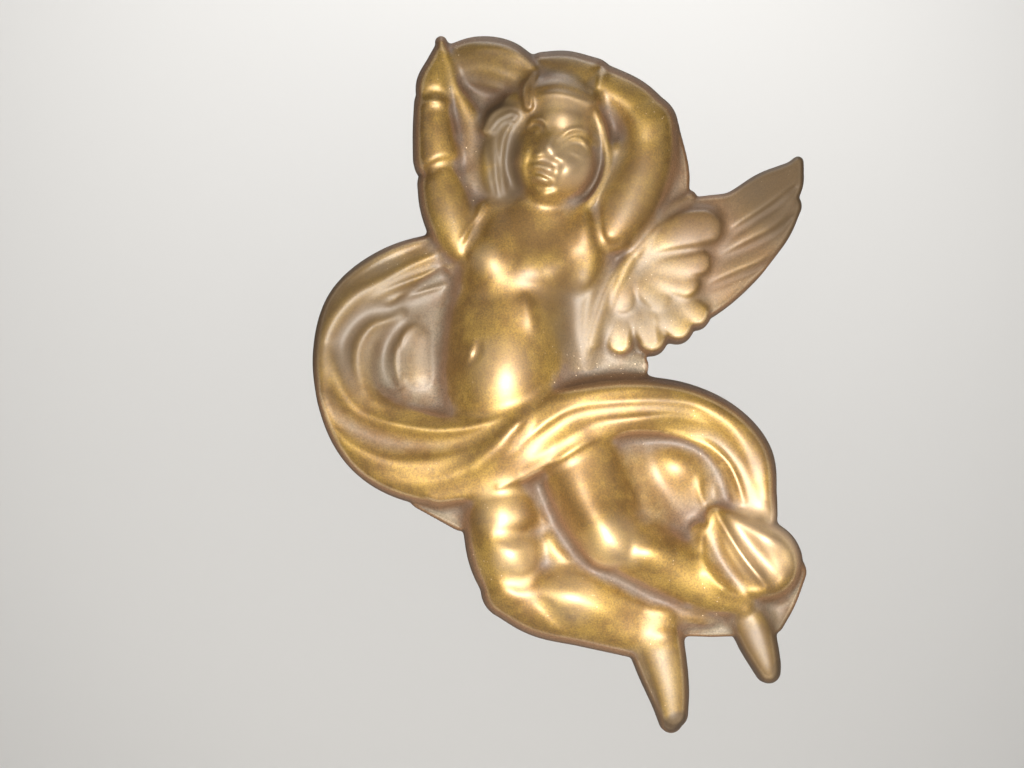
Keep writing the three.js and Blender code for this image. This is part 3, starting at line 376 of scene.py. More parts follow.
def loop(r):
    """Cloth that swings out beside the figure."""
    r.limb([[-79, 121, 16, 36], [-105, 135, 16, 36], [-151, 115, 24, 38], [-189, 81, 28, 38],
        [-203, 35, 28, 36], [-193, -15, 32, 40], [-161, -53, 42, 46], [-115, -71, 44, 54],
        [-65, -68, 40, 64], [-25, -53, 34, 74]], 0.3, 4)
    # folds of the upper part
    r.ridge([[-120, 149, 5, 1.5], [-145, 139, 6.2, 4.5], [-170, 127, 6.2, 3.8],
        [-193, 111, 6.2, 1.5]], 1.2)
    r.ridge([[-99, 137, 5, 2.2], [-133, 123, 8.8, 6], [-163, 107, 11.2, 6.8],
        [-193, 91, 12.5, 6.8], [-215, 65, 11.2, 6], [-225, 35, 8.8, 4.5], [-225, 2, 7.5, 3]], 0.6)
    r.ridge([[-92, 122, 3.8, 3], [-115, 113, 5, 5.2], [-137, 105, 6.2, 5.2], [-160, 94, 7.5, 3],
        [-180, 81, 7.5, 0]], 0.7)
    r.ridge([[-90, 105, 3.8, 3], [-120, 97, 5, 5.2], [-145, 89, 6.2, 4.5], [-165, 81, 6.2, 0]], 0.7)
    # hollow of the loop and the shell inside it
    r.limb([[-147, 72, 10, 33], [-173, 52, 14, 35], [-183, 22, 14, 36], [-171, -8, 12, 34],
        [-145, -18, 10, 32]], 0.5, 5)
    r.ridge([[-153, 81, 7.5, 0], [-183, 69, 10, -3.8], [-200, 42, 10, -5.2], [-197, 9, 8.8, -6],
        [-177, -19, 7.5, -6], [-145, -30, 6.2, -4.5], [-105, -34, 5, -3]])
    r.ridge([[-141, 70, 6.2, 0], [-167, 65, 6.2, 4], [-185, 49, 7.5, 4.5], [-191, 25, 7.5, 3.8],
        [-185, -1, 7.5, 1.5]])
    r.ridge([[-149, 61, 8.8, -1.5], [-160, 37, 10, -4.5], [-158, 5, 10, -4.5], [-141, -17, 8.8, -3]])
    r.limb([[-129, 47, 16, 33], [-127, 12, 17, 34]], 0.4, 6)
    r.ridge([[-113, 69, 5, 0], [-132, 63, 5, 2], [-144, 49, 5, 4], [-150, 31, 5, 5.2],
        [-148, 11, 5, 5.2], [-139, -9, 5, 4.5], [-125, -16, 5, 2.2], [-109, -15, 5, 0]])
    # lower sweep: two long rolls with a valley between, and a crisp lower edge
    r.ridge([[-218, 44, 8, 0], [-212, 22, 10, 4], [-196, -3, 12, 6], [-169, -23, 13, 8],
        [-134, -34, 15, 10], [-100, -39, 15, 11], [-65, -37, 13, 11], [-35, -28, 10, 9],
        [-13, -17, 8, 6]], 1.5)
    r.ridge([[-189, -11, 6, 0], [-167, -29, 6, 2], [-134, -40, 6, 3], [-100, -44, 6, 3],
        [-65, -40, 6, 3], [-35, -30, 5, 1]])
    r.ridge([[-223, 2, 8.8, -1.5], [-205, -33, 12.5, -4.5], [-173, -51, 13.8, -6],
        [-135, -59, 13.8, -6.8], [-95, -57, 12.5, -6.8], [-60, -45, 10, -6], [-30, -28, 7.5, -3]])
    r.ridge([[-224, -15, 6.2, 3], [-211, -43, 7.5, 5.2], [-187, -61, 8.8, 6], [-155, -73, 10, 6],
        [-120, -74, 10, 6], [-85, -67, 10, 5.2], [-55, -54, 8.8, 4.5], [-30, -35, 6.2, 3]], 1.6)
    r.ridge([[-173, -91, 7.5, 1.5], [-145, -97, 8.8, 3.8], [-110, -95, 10, 5.2],
        [-80, -84, 10, 6.8], [-55, -65, 10, 6.8], [-35, -45, 10, 4.5], [-15, -27, 8.8, 0]], 1.4)


def hip_cloth(r):
    """Cloth that crosses the hips and runs down to the knot."""
    r.limb([[-105, -95, 22, 56], [-60, -79, 30, 66], [-15, -51, 36, 76], [30, -33, 32, 78],
        [80, -21, 26, 74], [131, -24, 25, 64], [173, -42, 25, 56], [199, -72, 26, 52],
        [207, -108, 22, 48], [210, -127, 20, 46]], 0.3, 4)
    # folds that fan out over the hip
    r.ridge([[-67, -83, 8.8, 2.2], [-43, -61, 10, 4.5], [-23, -37, 10, 6], [3, -17, 10, 6],
        [35, -7, 8.8, 6.8], [67, -2, 7.5, 5.2], [105, -1, 7.5, 4.5], [145, -7, 8.8, 4.5],
        [175, -19, 10, 5.2], [203, -43, 10, 5.2], [219, -73, 8.8, 4.5], [223, -108, 8.8, 3]], 1.2)
    r.ridge([[-45, -79, 8.8, 2.2], [-17, -55, 10, 6], [7, -33, 10, 6.8], [40, -20, 8.8, 4.5],
        [77, -15, 7.5, 4.5], [115, -14, 7.5, 5.2], [150, -19, 8.8, 5.2], [180, -35, 10, 5.2],
        [199, -61, 10, 3.8], [207, -93, 8.8, 1.5]], 1.3)
    r.ridge([[-25, -83, 7.5, 2.2], [0, -68, 8.8, 5.2], [27, -50, 8.8, 5.2], [57, -37, 7.5, 3],
        [95, -31, 6.2, 4.5], [130, -29, 7.5, 4.5], [160, -39, 7.5, 2.2]], 1.4)
    r.ridge([[-25, -65, 5, 0], [0, -47, 5, -3.8], [27, -30, 5, -3.8], [60, -24, 5, -3],
        [100, -22, 5, -3], [145, -25, 5, -3], [170, -41, 5, 0]])
    r.ridge([[-45, -101, 6.2, 3], [-15, -90, 6.2, 4.5], [15, -72, 6.2, 4.5], [45, -55, 6.2, 3],
        [67, -49, 6.2, 0]], 0.7)
    # hollow of the right loop
    r.ridge([[95, -45, 10, 0], [135, -41, 11.2, -5.2], [167, -53, 11.2, -6.8],
        [190, -79, 11.2, -6], [203, -113, 10, -2.2]])
    r.ridge([[155, -50, 3.8, 1.5], [169, -60, 3.8, 5.2], [183, -74, 3.8, 6], [192, -91, 3.8, 6],
        [200, -115, 3.8, 2.2]], 1.4)
    r.swell(133, -77, 30, 22, -28, 10)
    r.swell(119, -89, 40, 34, -20, 4)
    r.ridge([[155, -83, 5, 0], [155, -103, 5, 3], [161, -121, 5, 3.8]])
    r.ridge([[170, -91, 5, 0], [171, -108, 5, 3], [171, -121, 5, 3]])


def tail(r):
    """Knotted end of the cloth, spread like a fan."""
    r.limb([[155, -147, 12, 50], [157, -173, 16, 54], [177, -191, 16, 50]], 0.5, 4)
    r.limb([[171, -129, 10, 54], [193, -159, 32, 60], [213, -173, 38, 60], [219, -176, 36, 58]], 0.5, 4)
    r.ridge([[195, -135, 8, 2], [220, -144, 11, 5], [242, -159, 10, 5], [251, -175, 8, 3]])
    r.ridge([[172, -125, 4, 2], [184, -145, 4.5, 5], [199, -169, 5, 6], [212, -187, 5, 5],
        [221, -199, 4, 2]])
    r.ridge([[181, -133, 5, -2], [198, -154, 7, -6], [216, -174, 7, -6], [230, -189, 6, -3]])
    r.ridge([[161, -133, 5, 2], [157, -161, 6, 5], [165, -181, 6, 5], [180, -198, 6, 3]])
    r.ridge([[169, -143, 5, -2], [173, -165, 6, -5], [185, -185, 6, -5], [197, -199, 5, -2]])
    r.ridge([[161, -187, 6, 2], [177, -201, 7, 4], [200, -208, 7, 4], [223, -205, 6, 2]])
    r.swell(223, -153, 20, 12, -40, 5)


def arms(r):
    """Both raised arms, and the cloth held over the head."""
    # cloth strip down the inside of the raised arm
    r.limb([[-104, 345, 3, 46], [-96, 321, 4, 46], [-90, 299, 5, 46], [-82, 283, 8, 45],
        [-74, 265, 12, 44], [-73, 237, 12, 43], [-68, 207, 11, 42], [-55, 190, 9, 41],
        [-39, 179, 8, 40]], 0.6, 4)
    # cloth over the head: a rolled band
    r.limb([[-93, 325, 16, 38], [-67, 325, 24, 46], [-43, 320, 25, 52], [-21, 312, 16, 54]], 0.6, 6)
    r.ridge([[-67, 341, 6, 2], [-45, 341, 7, 6], [-25, 333, 7, 8], [-9, 321, 6, 5]])
    r.ridge([[-89, 309, 6, 0], [-65, 309, 8, -4], [-40, 303, 7, -3]])
    r.ridge([[-12, 341, 4, 3], [-4, 329, 4, 8], [3, 315, 4, 7]])
    # left of picture
    r.limb([[-104, 337, 5, 42], [-107, 321, 10, 48], [-111, 303, 15, 52], [-110, 287, 16, 52]], 0.7, 5)
    r.limb([[-111, 283, 18, 52], [-110, 257, 20, 56], [-107, 229, 23, 58]], 0.95, 6)
    r.limb([[-103, 203, 23, 56], [-97, 181, 26, 60], [-89, 155, 23, 60], [-83, 141, 17, 58]], 1, 8)
    r.ridge([[-125, 291, 5, -2], [-111, 294, 5, -3], [-95, 290, 5, -2]])
    r.ridge([[-125, 284, 4, 1], [-111, 287, 4, 3], [-97, 284, 4, 1]])
    r.ridge([[-127, 210, 6, -2], [-115, 218, 6, -6], [-99, 224, 6, -6], [-79, 223, 6, -3]])
    r.ridge([[-61, 183, 4, 2], [-71, 167, 4, 4], [-81, 149, 4, 2]])
    r.ridge([[-56, 175, 5, -2], [-68, 155, 5, -6], [-77, 137, 5, -3]])
    # right of picture
    r.limb([[-2, 321, 12, 48], [21, 315, 19, 54], [47, 307, 20, 58]], 0.9, 6)
    r.limb([[51, 303, 20, 57], [81, 283, 26, 60], [101, 263, 28, 62]], 0.9, 6)
    r.limb([[101, 261, 30, 62], [98, 227, 32, 66], [85, 191, 32, 67], [67, 157, 24, 65]], 0.9, 10)
    r.ridge([[57, 321, 4, -4], [49, 310, 4, -8], [46, 297, 4, -5]])
    r.ridge([[61, 317, 5, 1], [55, 307, 5, 2], [53, 295, 5, 1]])
    r.ridge([[55, 289, 10, -3], [73, 265, 12, -8], [77, 237, 12, -6], [67, 207, 10, -3]])
    r.ridge([[53, 153, 6, -1], [59, 144, 6, -3], [69, 142, 6, -3], [81, 147, 6, -1]])
    r.ridge([[47, 191, 4, -3], [51, 171, 4, -6], [54, 151, 4, -4]])


def head(r):
    """Head and hair."""
    # neck, and the hair that falls on the left
    r.limb([[-29, 173, 12, 50], [0, 168, 14, 56], [27, 174, 12, 53]], 0.8, 8)
    r.limb([[-25, 277, 20, 62], [-41, 247, 19, 58], [-49, 215, 17, 53], [-41, 183, 12, 47]], 0.7, 8)
    r.strands([[-23, 283, 15], [-46, 253, 20], [-45, 215, 18], [-41, 179, 12]], 4, 1.3)
    r.limb([[-56, 257, 7, 57], [-48, 269, 9, 60], [-34, 274, 9, 62], [-24, 269, 7, 61]], 0.7, 6)
    r.strands([[-56, 255, 8], [-47, 268, 10], [-33, 274, 10], [-23, 267, 8]], 3, 1.5)
    # head, and the hair over the brow
    r.blob(11, 236, 45, 58, -11, 80, 0.8, 8)
    r.limb([[-11, 292, 12, 64], [15, 297, 14, 68], [43, 287, 11, 65]], 0.8, 8)
    r.strands([[-15, 289, 12], [15, 294, 14], [47, 283, 11]], 3, 2)
    r.limb([[-11, 311, 5, 58], [-17, 297, 7, 65], [-17, 281, 6, 67]], 0.8, 4)
    r.strands([[-10, 317, 6], [-17, 297, 8], [-17, 277, 7]], 2, 2)
    # edge of the hair round the face, and the ear
    r.limb([[27, 301, 4, 58], [43, 288, 4.5, 59], [53, 269, 4.5, 57], [59, 249, 4.5, 56],
        [63, 229, 4.5, 55], [60, 210, 4.5, 55], [52, 193, 4.5, 56], [38, 178, 4.5, 57],
        [21, 168, 4, 56]], 0.5, 2)
    r.ridge([[41, 275, 4, -1], [49, 249, 5, -3], [49, 221, 5, -3], [41, 199, 4, -2]])
    r.blob(72, 237, 6, 10, 0, 54, 0.7)
    r.ridge([[-21, 271, 5, -1], [-32, 247, 5, -4], [-37, 222, 5, -4], [-32, 197, 5, -2]])


def face(r):
    """Face: brow, eyes, nose, cheeks and mouth."""
    # brow, cheeks, jaw
    r.swell(18, 283, 30, 20, -14, 14)
    r.swell(23, 217, 20, 18, -10, 12)
    r.swell(-22, 229, 11, 18, -12, 7)
    r.swell(1, 191, 14, 9, -10, 4)
    r.ridge([[14, 229, 4, -1], [11, 217, 5, -4], [8, 203, 5, -3]])
    r.ridge([[-15, 231, 4, -1], [-17, 219, 4, -3], [-14, 205, 4, -2]])
    # eyes
    r.swell(-7, 257, 10, 8, -20, -6)
    r.swell(32, 241, 14, 9, -26, -6)
    r.swell(-8, 257, 5, 4.5, -20, 4)
    r.swell(32, 238, 9, 5, -26, 4)
    r.ridge([[-18, 260, 2.4, 1], [-12, 267, 2.4, 4], [-3, 267, 2.4, 4], [3, 258, 2.4, 1]])
    r.ridge([[14, 248, 2.6, 1], [26, 257, 2.6, 3], [40, 256, 2.6, 3], [51, 241, 2.6, 1]])
    r.ridge([[17, 241, 2.2, 1], [27, 248, 2.2, 3], [38, 246, 2.2, 3], [47, 233, 2.2, 1]])
    r.ridge([[21, 236, 2, 0], [30, 234, 2, 2], [41, 228, 2, 1]])
    # nose
    r.ridge([[11, 261, 8, 0], [7, 251, 8, 3], [4, 243, 8, 4]])
    r.swell(3, 238, 9, 8, -20, 6)
    r.swell(-7, 232, 5, 4.5, 0, 4)
    r.swell(12, 229, 5, 4.5, 0, 4)
    r.ridge([[-10, 227, 4, -1], [-1, 227, 4, -2.5], [7, 224, 4, -2.5], [15, 222, 4, -1]])
    # mouth
    r.swell(-2, 215, 13, 12, -18, 6)
    r.ridge([[-14, 220, 3.4, 1], [-7, 221, 3.6, 2.5], [-1, 219, 3.6, 2], [5, 217, 3.6, 2.5],
        [10, 213, 3.4, 1]])
    r.ridge([[-13, 215, 3, -1], [-5, 215, 3.2, -4.5], [2, 212, 3.2, -4.5], [8, 209, 3, -1]])
    r.ridge([[-12, 210, 3, 1], [-5, 208, 3.6, 3], [2, 206, 3.4, 2.5], [7, 206, 3, 1]])
    r.ridge([[-12, 202, 4, 0], [-4, 200, 4.5, -2], [5, 199, 4, -1]])
    r.swell(-3, 191, 13, 9, -16, 2.5)


def carve_figure(side_slope, crease_filling, softening):
    """All forms, in the order in which they lie on each other; the face's small creases aren't filled."""
    relief = Relief(side_slope)
    for form in (webs, wing, loop, torso, legs, arms, head, hip_cloth, tail):
        form(relief)
    relief.fill(crease_filling)
    face(relief)
    relief.soften(softening)
    return relief


# Mesh

def placed(across, up, height):
    """Moves drawn points along their lines of sight to their height over the wall."""
    u = across - VIEW_CENTRE[0]
    v = up - VIEW_CENTRE[1]
    c, s = math.cos(VIEW_TILT), math.sin(VIEW_TILT)
    reach = (VIEW_DISTANCE * c - height) / (VIEW_DISTANCE * c + v * s)
    moved_up = VIEW_CENTRE[1] + VIEW_DISTANCE * s + reach * (v * c - VIEW_DISTANCE * s)
    return VIEW_CENTRE[0] + reach * u, moved_up


def front_surface(relief, level):
    """Triangles of the grid over the level, cut along the level.

    Each cell is two triangles. One with a corner or two over the level is cut where its sides cross the
    level, at the share (level - low) / (high - low) of the side. Returns the places as rows of across, up
    and height, the triangles, the outline as pairs of places, and the grid point whose values each place
    takes.
    """
    rows, columns = relief.heights.shape
    flat = relief.heights.ravel()
    x, z = (a.ravel() for a in np.meshgrid(relief.across, relief.up))
    n = (np.arange(rows - 1)[:, None] * columns + np.arange(columns - 1)[None, :]).ravel()
    cells = np.concatenate([
        np.stack([n, n + 1, n + 1 + columns], 1),
        np.stack([n, n + 1 + columns, n + columns], 1),
    ])
    over = flat[cells] > level
    count = over.sum(1)

    def rolled(which, first):
        """Turns each triangle so that the corner marked in first comes first."""
        start = np.argmax(first, 1)[:, None]
        return np.take_along_axis(cells[which], (start + np.arange(3)) % 3, 1)

    whole = cells[count == 3]
    one = rolled(count == 1, over[count == 1])
    two = rolled(count == 2, ~over[count == 2])
    sides = np.concatenate([one[:, [0, 1]], one[:, [2, 0]], two[:, [2, 0]], two[:, [0, 1]]])
    sides.sort(axis=1)
    keys, back = np.unique(sides[:, 0] * flat.size + sides[:, 1], return_inverse=True)
    a, b = keys // flat.size, keys % flat.size
    t = np.clip((level - flat[a]) / (flat[b] - flat[a]), CUT_MARGIN, 1 - CUT_MARGIN)
    used, cut = np.flatnonzero(flat > level), len(one)
    new = np.full(flat.size, -1)
    new[used] = np.arange(len(used))
    first = len(used) + back
    leave_one, enter_one = first[:cut], first[cut:2 * cut]
    leave_two, enter_two = first[2 * cut:2 * cut + len(two)], first[2 * cut + len(two):]
    triangles = np.concatenate([
        new[whole],
        np.stack([new[one[:, 0]], leave_one, enter_one], 1),
        np.stack([new[two[:, 1]], new[two[:, 2]], leave_two], 1),
        np.stack([new[two[:, 1]], leave_two, enter_two], 1),
    ])
    rim = np.concatenate([np.stack([leave_one, enter_one], 1), np.stack([leave_two, enter_two], 1)])
    places = np.concatenate([
        np.stack([x[used], z[used], flat[used]], 1),
        np.stack([x[a] + (x[b] - x[a]) * t, z[a] + (z[b] - z[a]) * t, np.full(len(a), level)], 1),
    ])
    grid_at = np.concatenate([used, a])
    return places, triangles, rim, grid_at


def pocket_drum(x, z, radius, depth, sides, start):
    """Wall and floor of the round pocket: points on two circles and its middle, numbered from start."""
    angle = np.linspace(0, 2 * np.pi, sides, endpoint=False)
    circle = np.stack([x + radius * np.cos(angle), np.zeros(sides), z + radius * np.sin(angle)], 1)
    points = np.concatenate([circle, circle - [0, depth, 0], [[x, -depth, z]]])
    mouth = start + np.arange(sides)
    floor = mouth + sides
    middle = np.full(sides, start + 2 * sides)
    after = np.roll(np.arange(sides), -1)
    faces = np.concatenate([
        np.stack([mouth, floor, floor[after]], 1),
        np.stack([mouth, floor[after], mouth[after]], 1),
        np.stack([middle, floor[after], floor], 1),
    ])
    return points, faces


def cast_mesh(name, relief, level, square, crest_square, pocket):
    """Front, rim, flat back and nail pocket as one closed mesh, in metres."""
    places, triangles, rim, grid_at = front_surface(relief, level)
    edge = np.unique(rim)
    behind = np.full(len(places), -1)
    behind[edge] = len(places) + np.arange(len(edge))
    side = np.concatenate([
        np.stack([rim[:, 1], rim[:, 0], behind[rim[:, 0]]], 1),
        np.stack([rim[:, 1], behind[rim[:, 0]], behind[rim[:, 1]]], 1),
    ])
    across, up = placed(places[:, 0], places[:, 1], places[:, 2])
    front = np.stack([across * square, -places[:, 2] * crest_square, up * square], 1)
    back = front[edge] * [1, 0, 1]
    drum, drum_faces = pocket_drum(*pocket, start=len(front) + len(back))
    points = np.concatenate([front, back, drum])
    faces = np.concatenate([triangles, side, drum_faces])

    mesh = bpy.data.meshes.new(name)
    mesh.from_pydata(points.tolist(), [], faces.tolist())
    bm = bmesh.new()
    bm.from_mesh(mesh)
    open_edges = [e for e in bm.edges if e.is_boundary]
    bmesh.ops.triangle_fill(bm, use_beauty=True, use_dissolve=False, edges=open_edges, normal=(0, 1, 0))
    bmesh.ops.recalc_face_normals(bm, faces=bm.faces)
    bm.to_mesh(mesh)
    bm.free()
    return mesh, grid_at


def add_values(mesh, name, grid_values, grid_at):
    """Stores a value for each point: the grid's own on the front, and zero on the back."""
    values = np.zeros(len(mesh.vertices), np.float32)
    values[:len(grid_at)] = grid_values.ravel()[grid_at]
    layer = mesh.attributes.new(name, "FLOAT", "POINT")
    layer.data.foreach_set("value", values)


# Shader maths

class Wire:
    """A node socket that can be used in arithmetic."""

    def __init__(self, shader, socket):
        self.shader = shader
        self.socket = socket

    def maths(self, operation, other):
        return self.shader.add("ShaderNodeMath", {"operation": operation}, {0: self, 1: other})

    def __add__(self, other):
        return self.maths("ADD", other)

    def __sub__(self, other):
        return self.maths("SUBTRACT", other)

    def __mul__(self, other):
        return self.maths("MULTIPLY", other)

    def __rsub__(self, other):
        return self.shader.add("ShaderNodeMath", {"operation": "SUBTRACT"}, {0: other, 1: self})

    __radd__ = __add__
    __rmul__ = __mul__

    def most(self, other):
        return self.maths("MAXIMUM", other)

    def least(self, other):
        return self.maths("MINIMUM", other)

    def between(self, low, high):
        """0 below low and 1 over high, smooth between them; high may be the smaller."""
        settings = {"interpolation_type": "SMOOTHSTEP", "clamp": True}
        inputs = {"Value": self, "From Min": low, "From Max": high}
        return self.shader.add("ShaderNodeMapRange", settings, inputs)


class Shader:
    """A material's nodes, added one at a time with their settings and inputs."""

    def __init__(self, name):
        self.material = bpy.data.materials.new(name)
        self.material.use_nodes = True
        self.tree = self.material.node_tree
        self.tree.nodes.clear()

    def add(self, kind, settings=None, inputs=None, output=0):
        node = self.tree.nodes.new(kind)
        for key, value in (settings or {}).items():
            setattr(node, key, value)
        for key, value in (inputs or {}).items():
            socket = node.inputs[key]
            if isinstance(value, Wire):
                self.tree.links.new(value.socket, socket)
            else:
                socket.default_value = value
        return Wire(self, node.outputs[output]) if node.outputs else None

    def mix(self, factor, a, b):
        """Mixes two colours, each a link or its red, green and blue."""
        a, b = (colour if isinstance(colour, Wire) else (*colour, 1) for colour in (a, b))
        return self.add("ShaderNodeMix", {"data_type": "RGBA"}, {0: factor, 6: a, 7: b}, output=2)

    def noise(self, place, scale, detail, roughness):
        inputs = {"Vector": place, "Scale": scale, "Detail": detail, "Roughness": roughness}
        return self.add("ShaderNodeTexNoise", None, inputs)

    def value(self, name):
        """A value stored on the piece's points."""
        return self.add("ShaderNodeAttribute", {"attribute_name": name}, output=2)

    def near(self, place, point, radius, ragged, core=0.7):
        """0 beyond a ragged radius round a point, and 1 within the share of it that is the core."""
        away = self.add("ShaderNodeVectorMath", {"operation": "DISTANCE"}, {0: place, 1: point}, output=1)
        return (away * (1 + ragged)).between(radius, core * radius)

    def patches(self, place, rows, ragged):
        """Soft patches of across, depth, up, radius and amount; the strongest holds where they meet."""
        total = None
        for across, depth, up, radius, amount in rows:
            patch = self.near(place, (across, depth, up), radius, ragged, core=0.4) * amount
            total = patch if total is None else total.most(patch)
        return total


# Paint

# Noises, as scale, detail and roughness
CLOUD_NOISE = (24.0, 6.0, 0.62)
PATCH_NOISE = (75.0, 7.0, 0.7)
GRAIN_NOISE = (1500.0, 3.0, 0.7)
SPECK_SCALE = 420.0

# Levels between which each mask rises from 0 to 1
RECESS_LEVELS = (-0.15, 0.75)
CREASE_LEVELS = (0.25, 1.6)
WALL_LEVELS = (0.6, 2.4)
RIDGE_LEVELS = (0.8, 2.0)
RIDGE_LIFT = (0.14, 0.24)
DUST_LEVELS = (0.36, 0.6)
DUST_LIFT = (0.22, 0.45)
GRAIN_LEVELS = (-0.22, 0.26)
SPECK_EDGE = (0.12, 0.06)
SPECK_CLOUD = (-0.02, 0.1)
BRIGHT_LEVELS = (0.4, 0.6)
GREY_LEVELS = (0.35, 0.65)

# Single spots, as place and radius: painted shade on the wing's tip, two chips and a dark toe
WING_TIP_SHADE = ((0.088, -0.012, 0.066), 0.05)
CHIPS = [((0.0355, -0.008, 0.0065), 0.0032), ((0.0770, -0.019, -0.0145), 0.0022)]
TOE = ((0.0480, -0.015, -0.1255), 0.0072)
TOE_COLOUR = (0.02, 0.012, 0.012)
PORE_COLOUR = (0.0, 0.0, 0.0)

# Patches of painted shade, where the gold is painted darker, as across, depth, up, radius and amount
SHADE_PATCHES = [
    (-0.017, -0.021, 0.0985, 0.013, 0.9),
    (-0.0165, -0.021, 0.0865, 0.013, 0.9),
    (-0.0155, -0.019, 0.0745, 0.012, 0.9),
    (0.0455, -0.017, -0.1120, 0.026, 0.6),
    (0.0815, -0.016, -0.1000, 0.026, 0.75),
    (0.0930, -0.012, 0.0740, 0.036, 0.85),
    (0.0800, -0.013, 0.0480, 0.028, 0.3),
    (0.0440, -0.017, 0.0330, 0.030, 0.35),
    (0.0110, -0.018, 0.0250, 0.024, 0.65),
    (0.0848, -0.014, -0.1045, 0.007, 0.95),
    (-0.0020, -0.024, 0.0520, 0.012, 0.3),
    (-0.0340, -0.022, 0.0640, 0.016, 0.35),
    (0.0250, -0.026, 0.0800, 0.020, 0.35),
    (0.0310, -0.024, 0.0700, 0.018, 0.45),
    (0.0375, -0.016, 0.0230, 0.017, 0.6),
    (0.0056, -0.012, 0.1168, 0.015, 0.6),
    (-0.0206, -0.018, 0.1206, 0.018, 0.5),
    (-0.0475, -0.013, 0.0139, 0.014, 0.5),
    (0.0430, -0.024, -0.0086, 0.014, 0.35),
    (0.0786, -0.018, -0.0236, 0.014, 0.3),
    (-0.0020, -0.027, 0.0430, 0.014, 0.3),
    (-0.0700, -0.014, 0.0270, 0.042, 0.75),
    (-0.0450, -0.013, 0.0450, 0.022, 0.1),
    (0.0540, -0.018, 0.0590, 0.020, 0.45),
    (0.0000, -0.020, 0.1180, 0.030, 0.35),
]
# Painted highlights: high places painted paler in cream
PAINTED_HIGHLIGHTS = [
    (0.0080, -0.031, 0.0800, 0.014, 0.4),
    (0.0086, -0.031, 0.0977, 0.014, 0.25),
    (0.0800, -0.022, -0.0570, 0.020, 0.35),
    (0.0243, -0.031, -0.0592, 0.014, 0.25),
    (-0.0168, -0.027, -0.0468, 0.013, 0.2),
    (-0.0105, -0.027, -0.0637, 0.012, 0.3),
    (0.0086, -0.026, -0.0780, 0.014, 0.2),
    (-0.0176, -0.032, 0.0034, 0.016, 0.15),
    (-0.0236, -0.029, 0.0446, 0.009, 0.2),
]


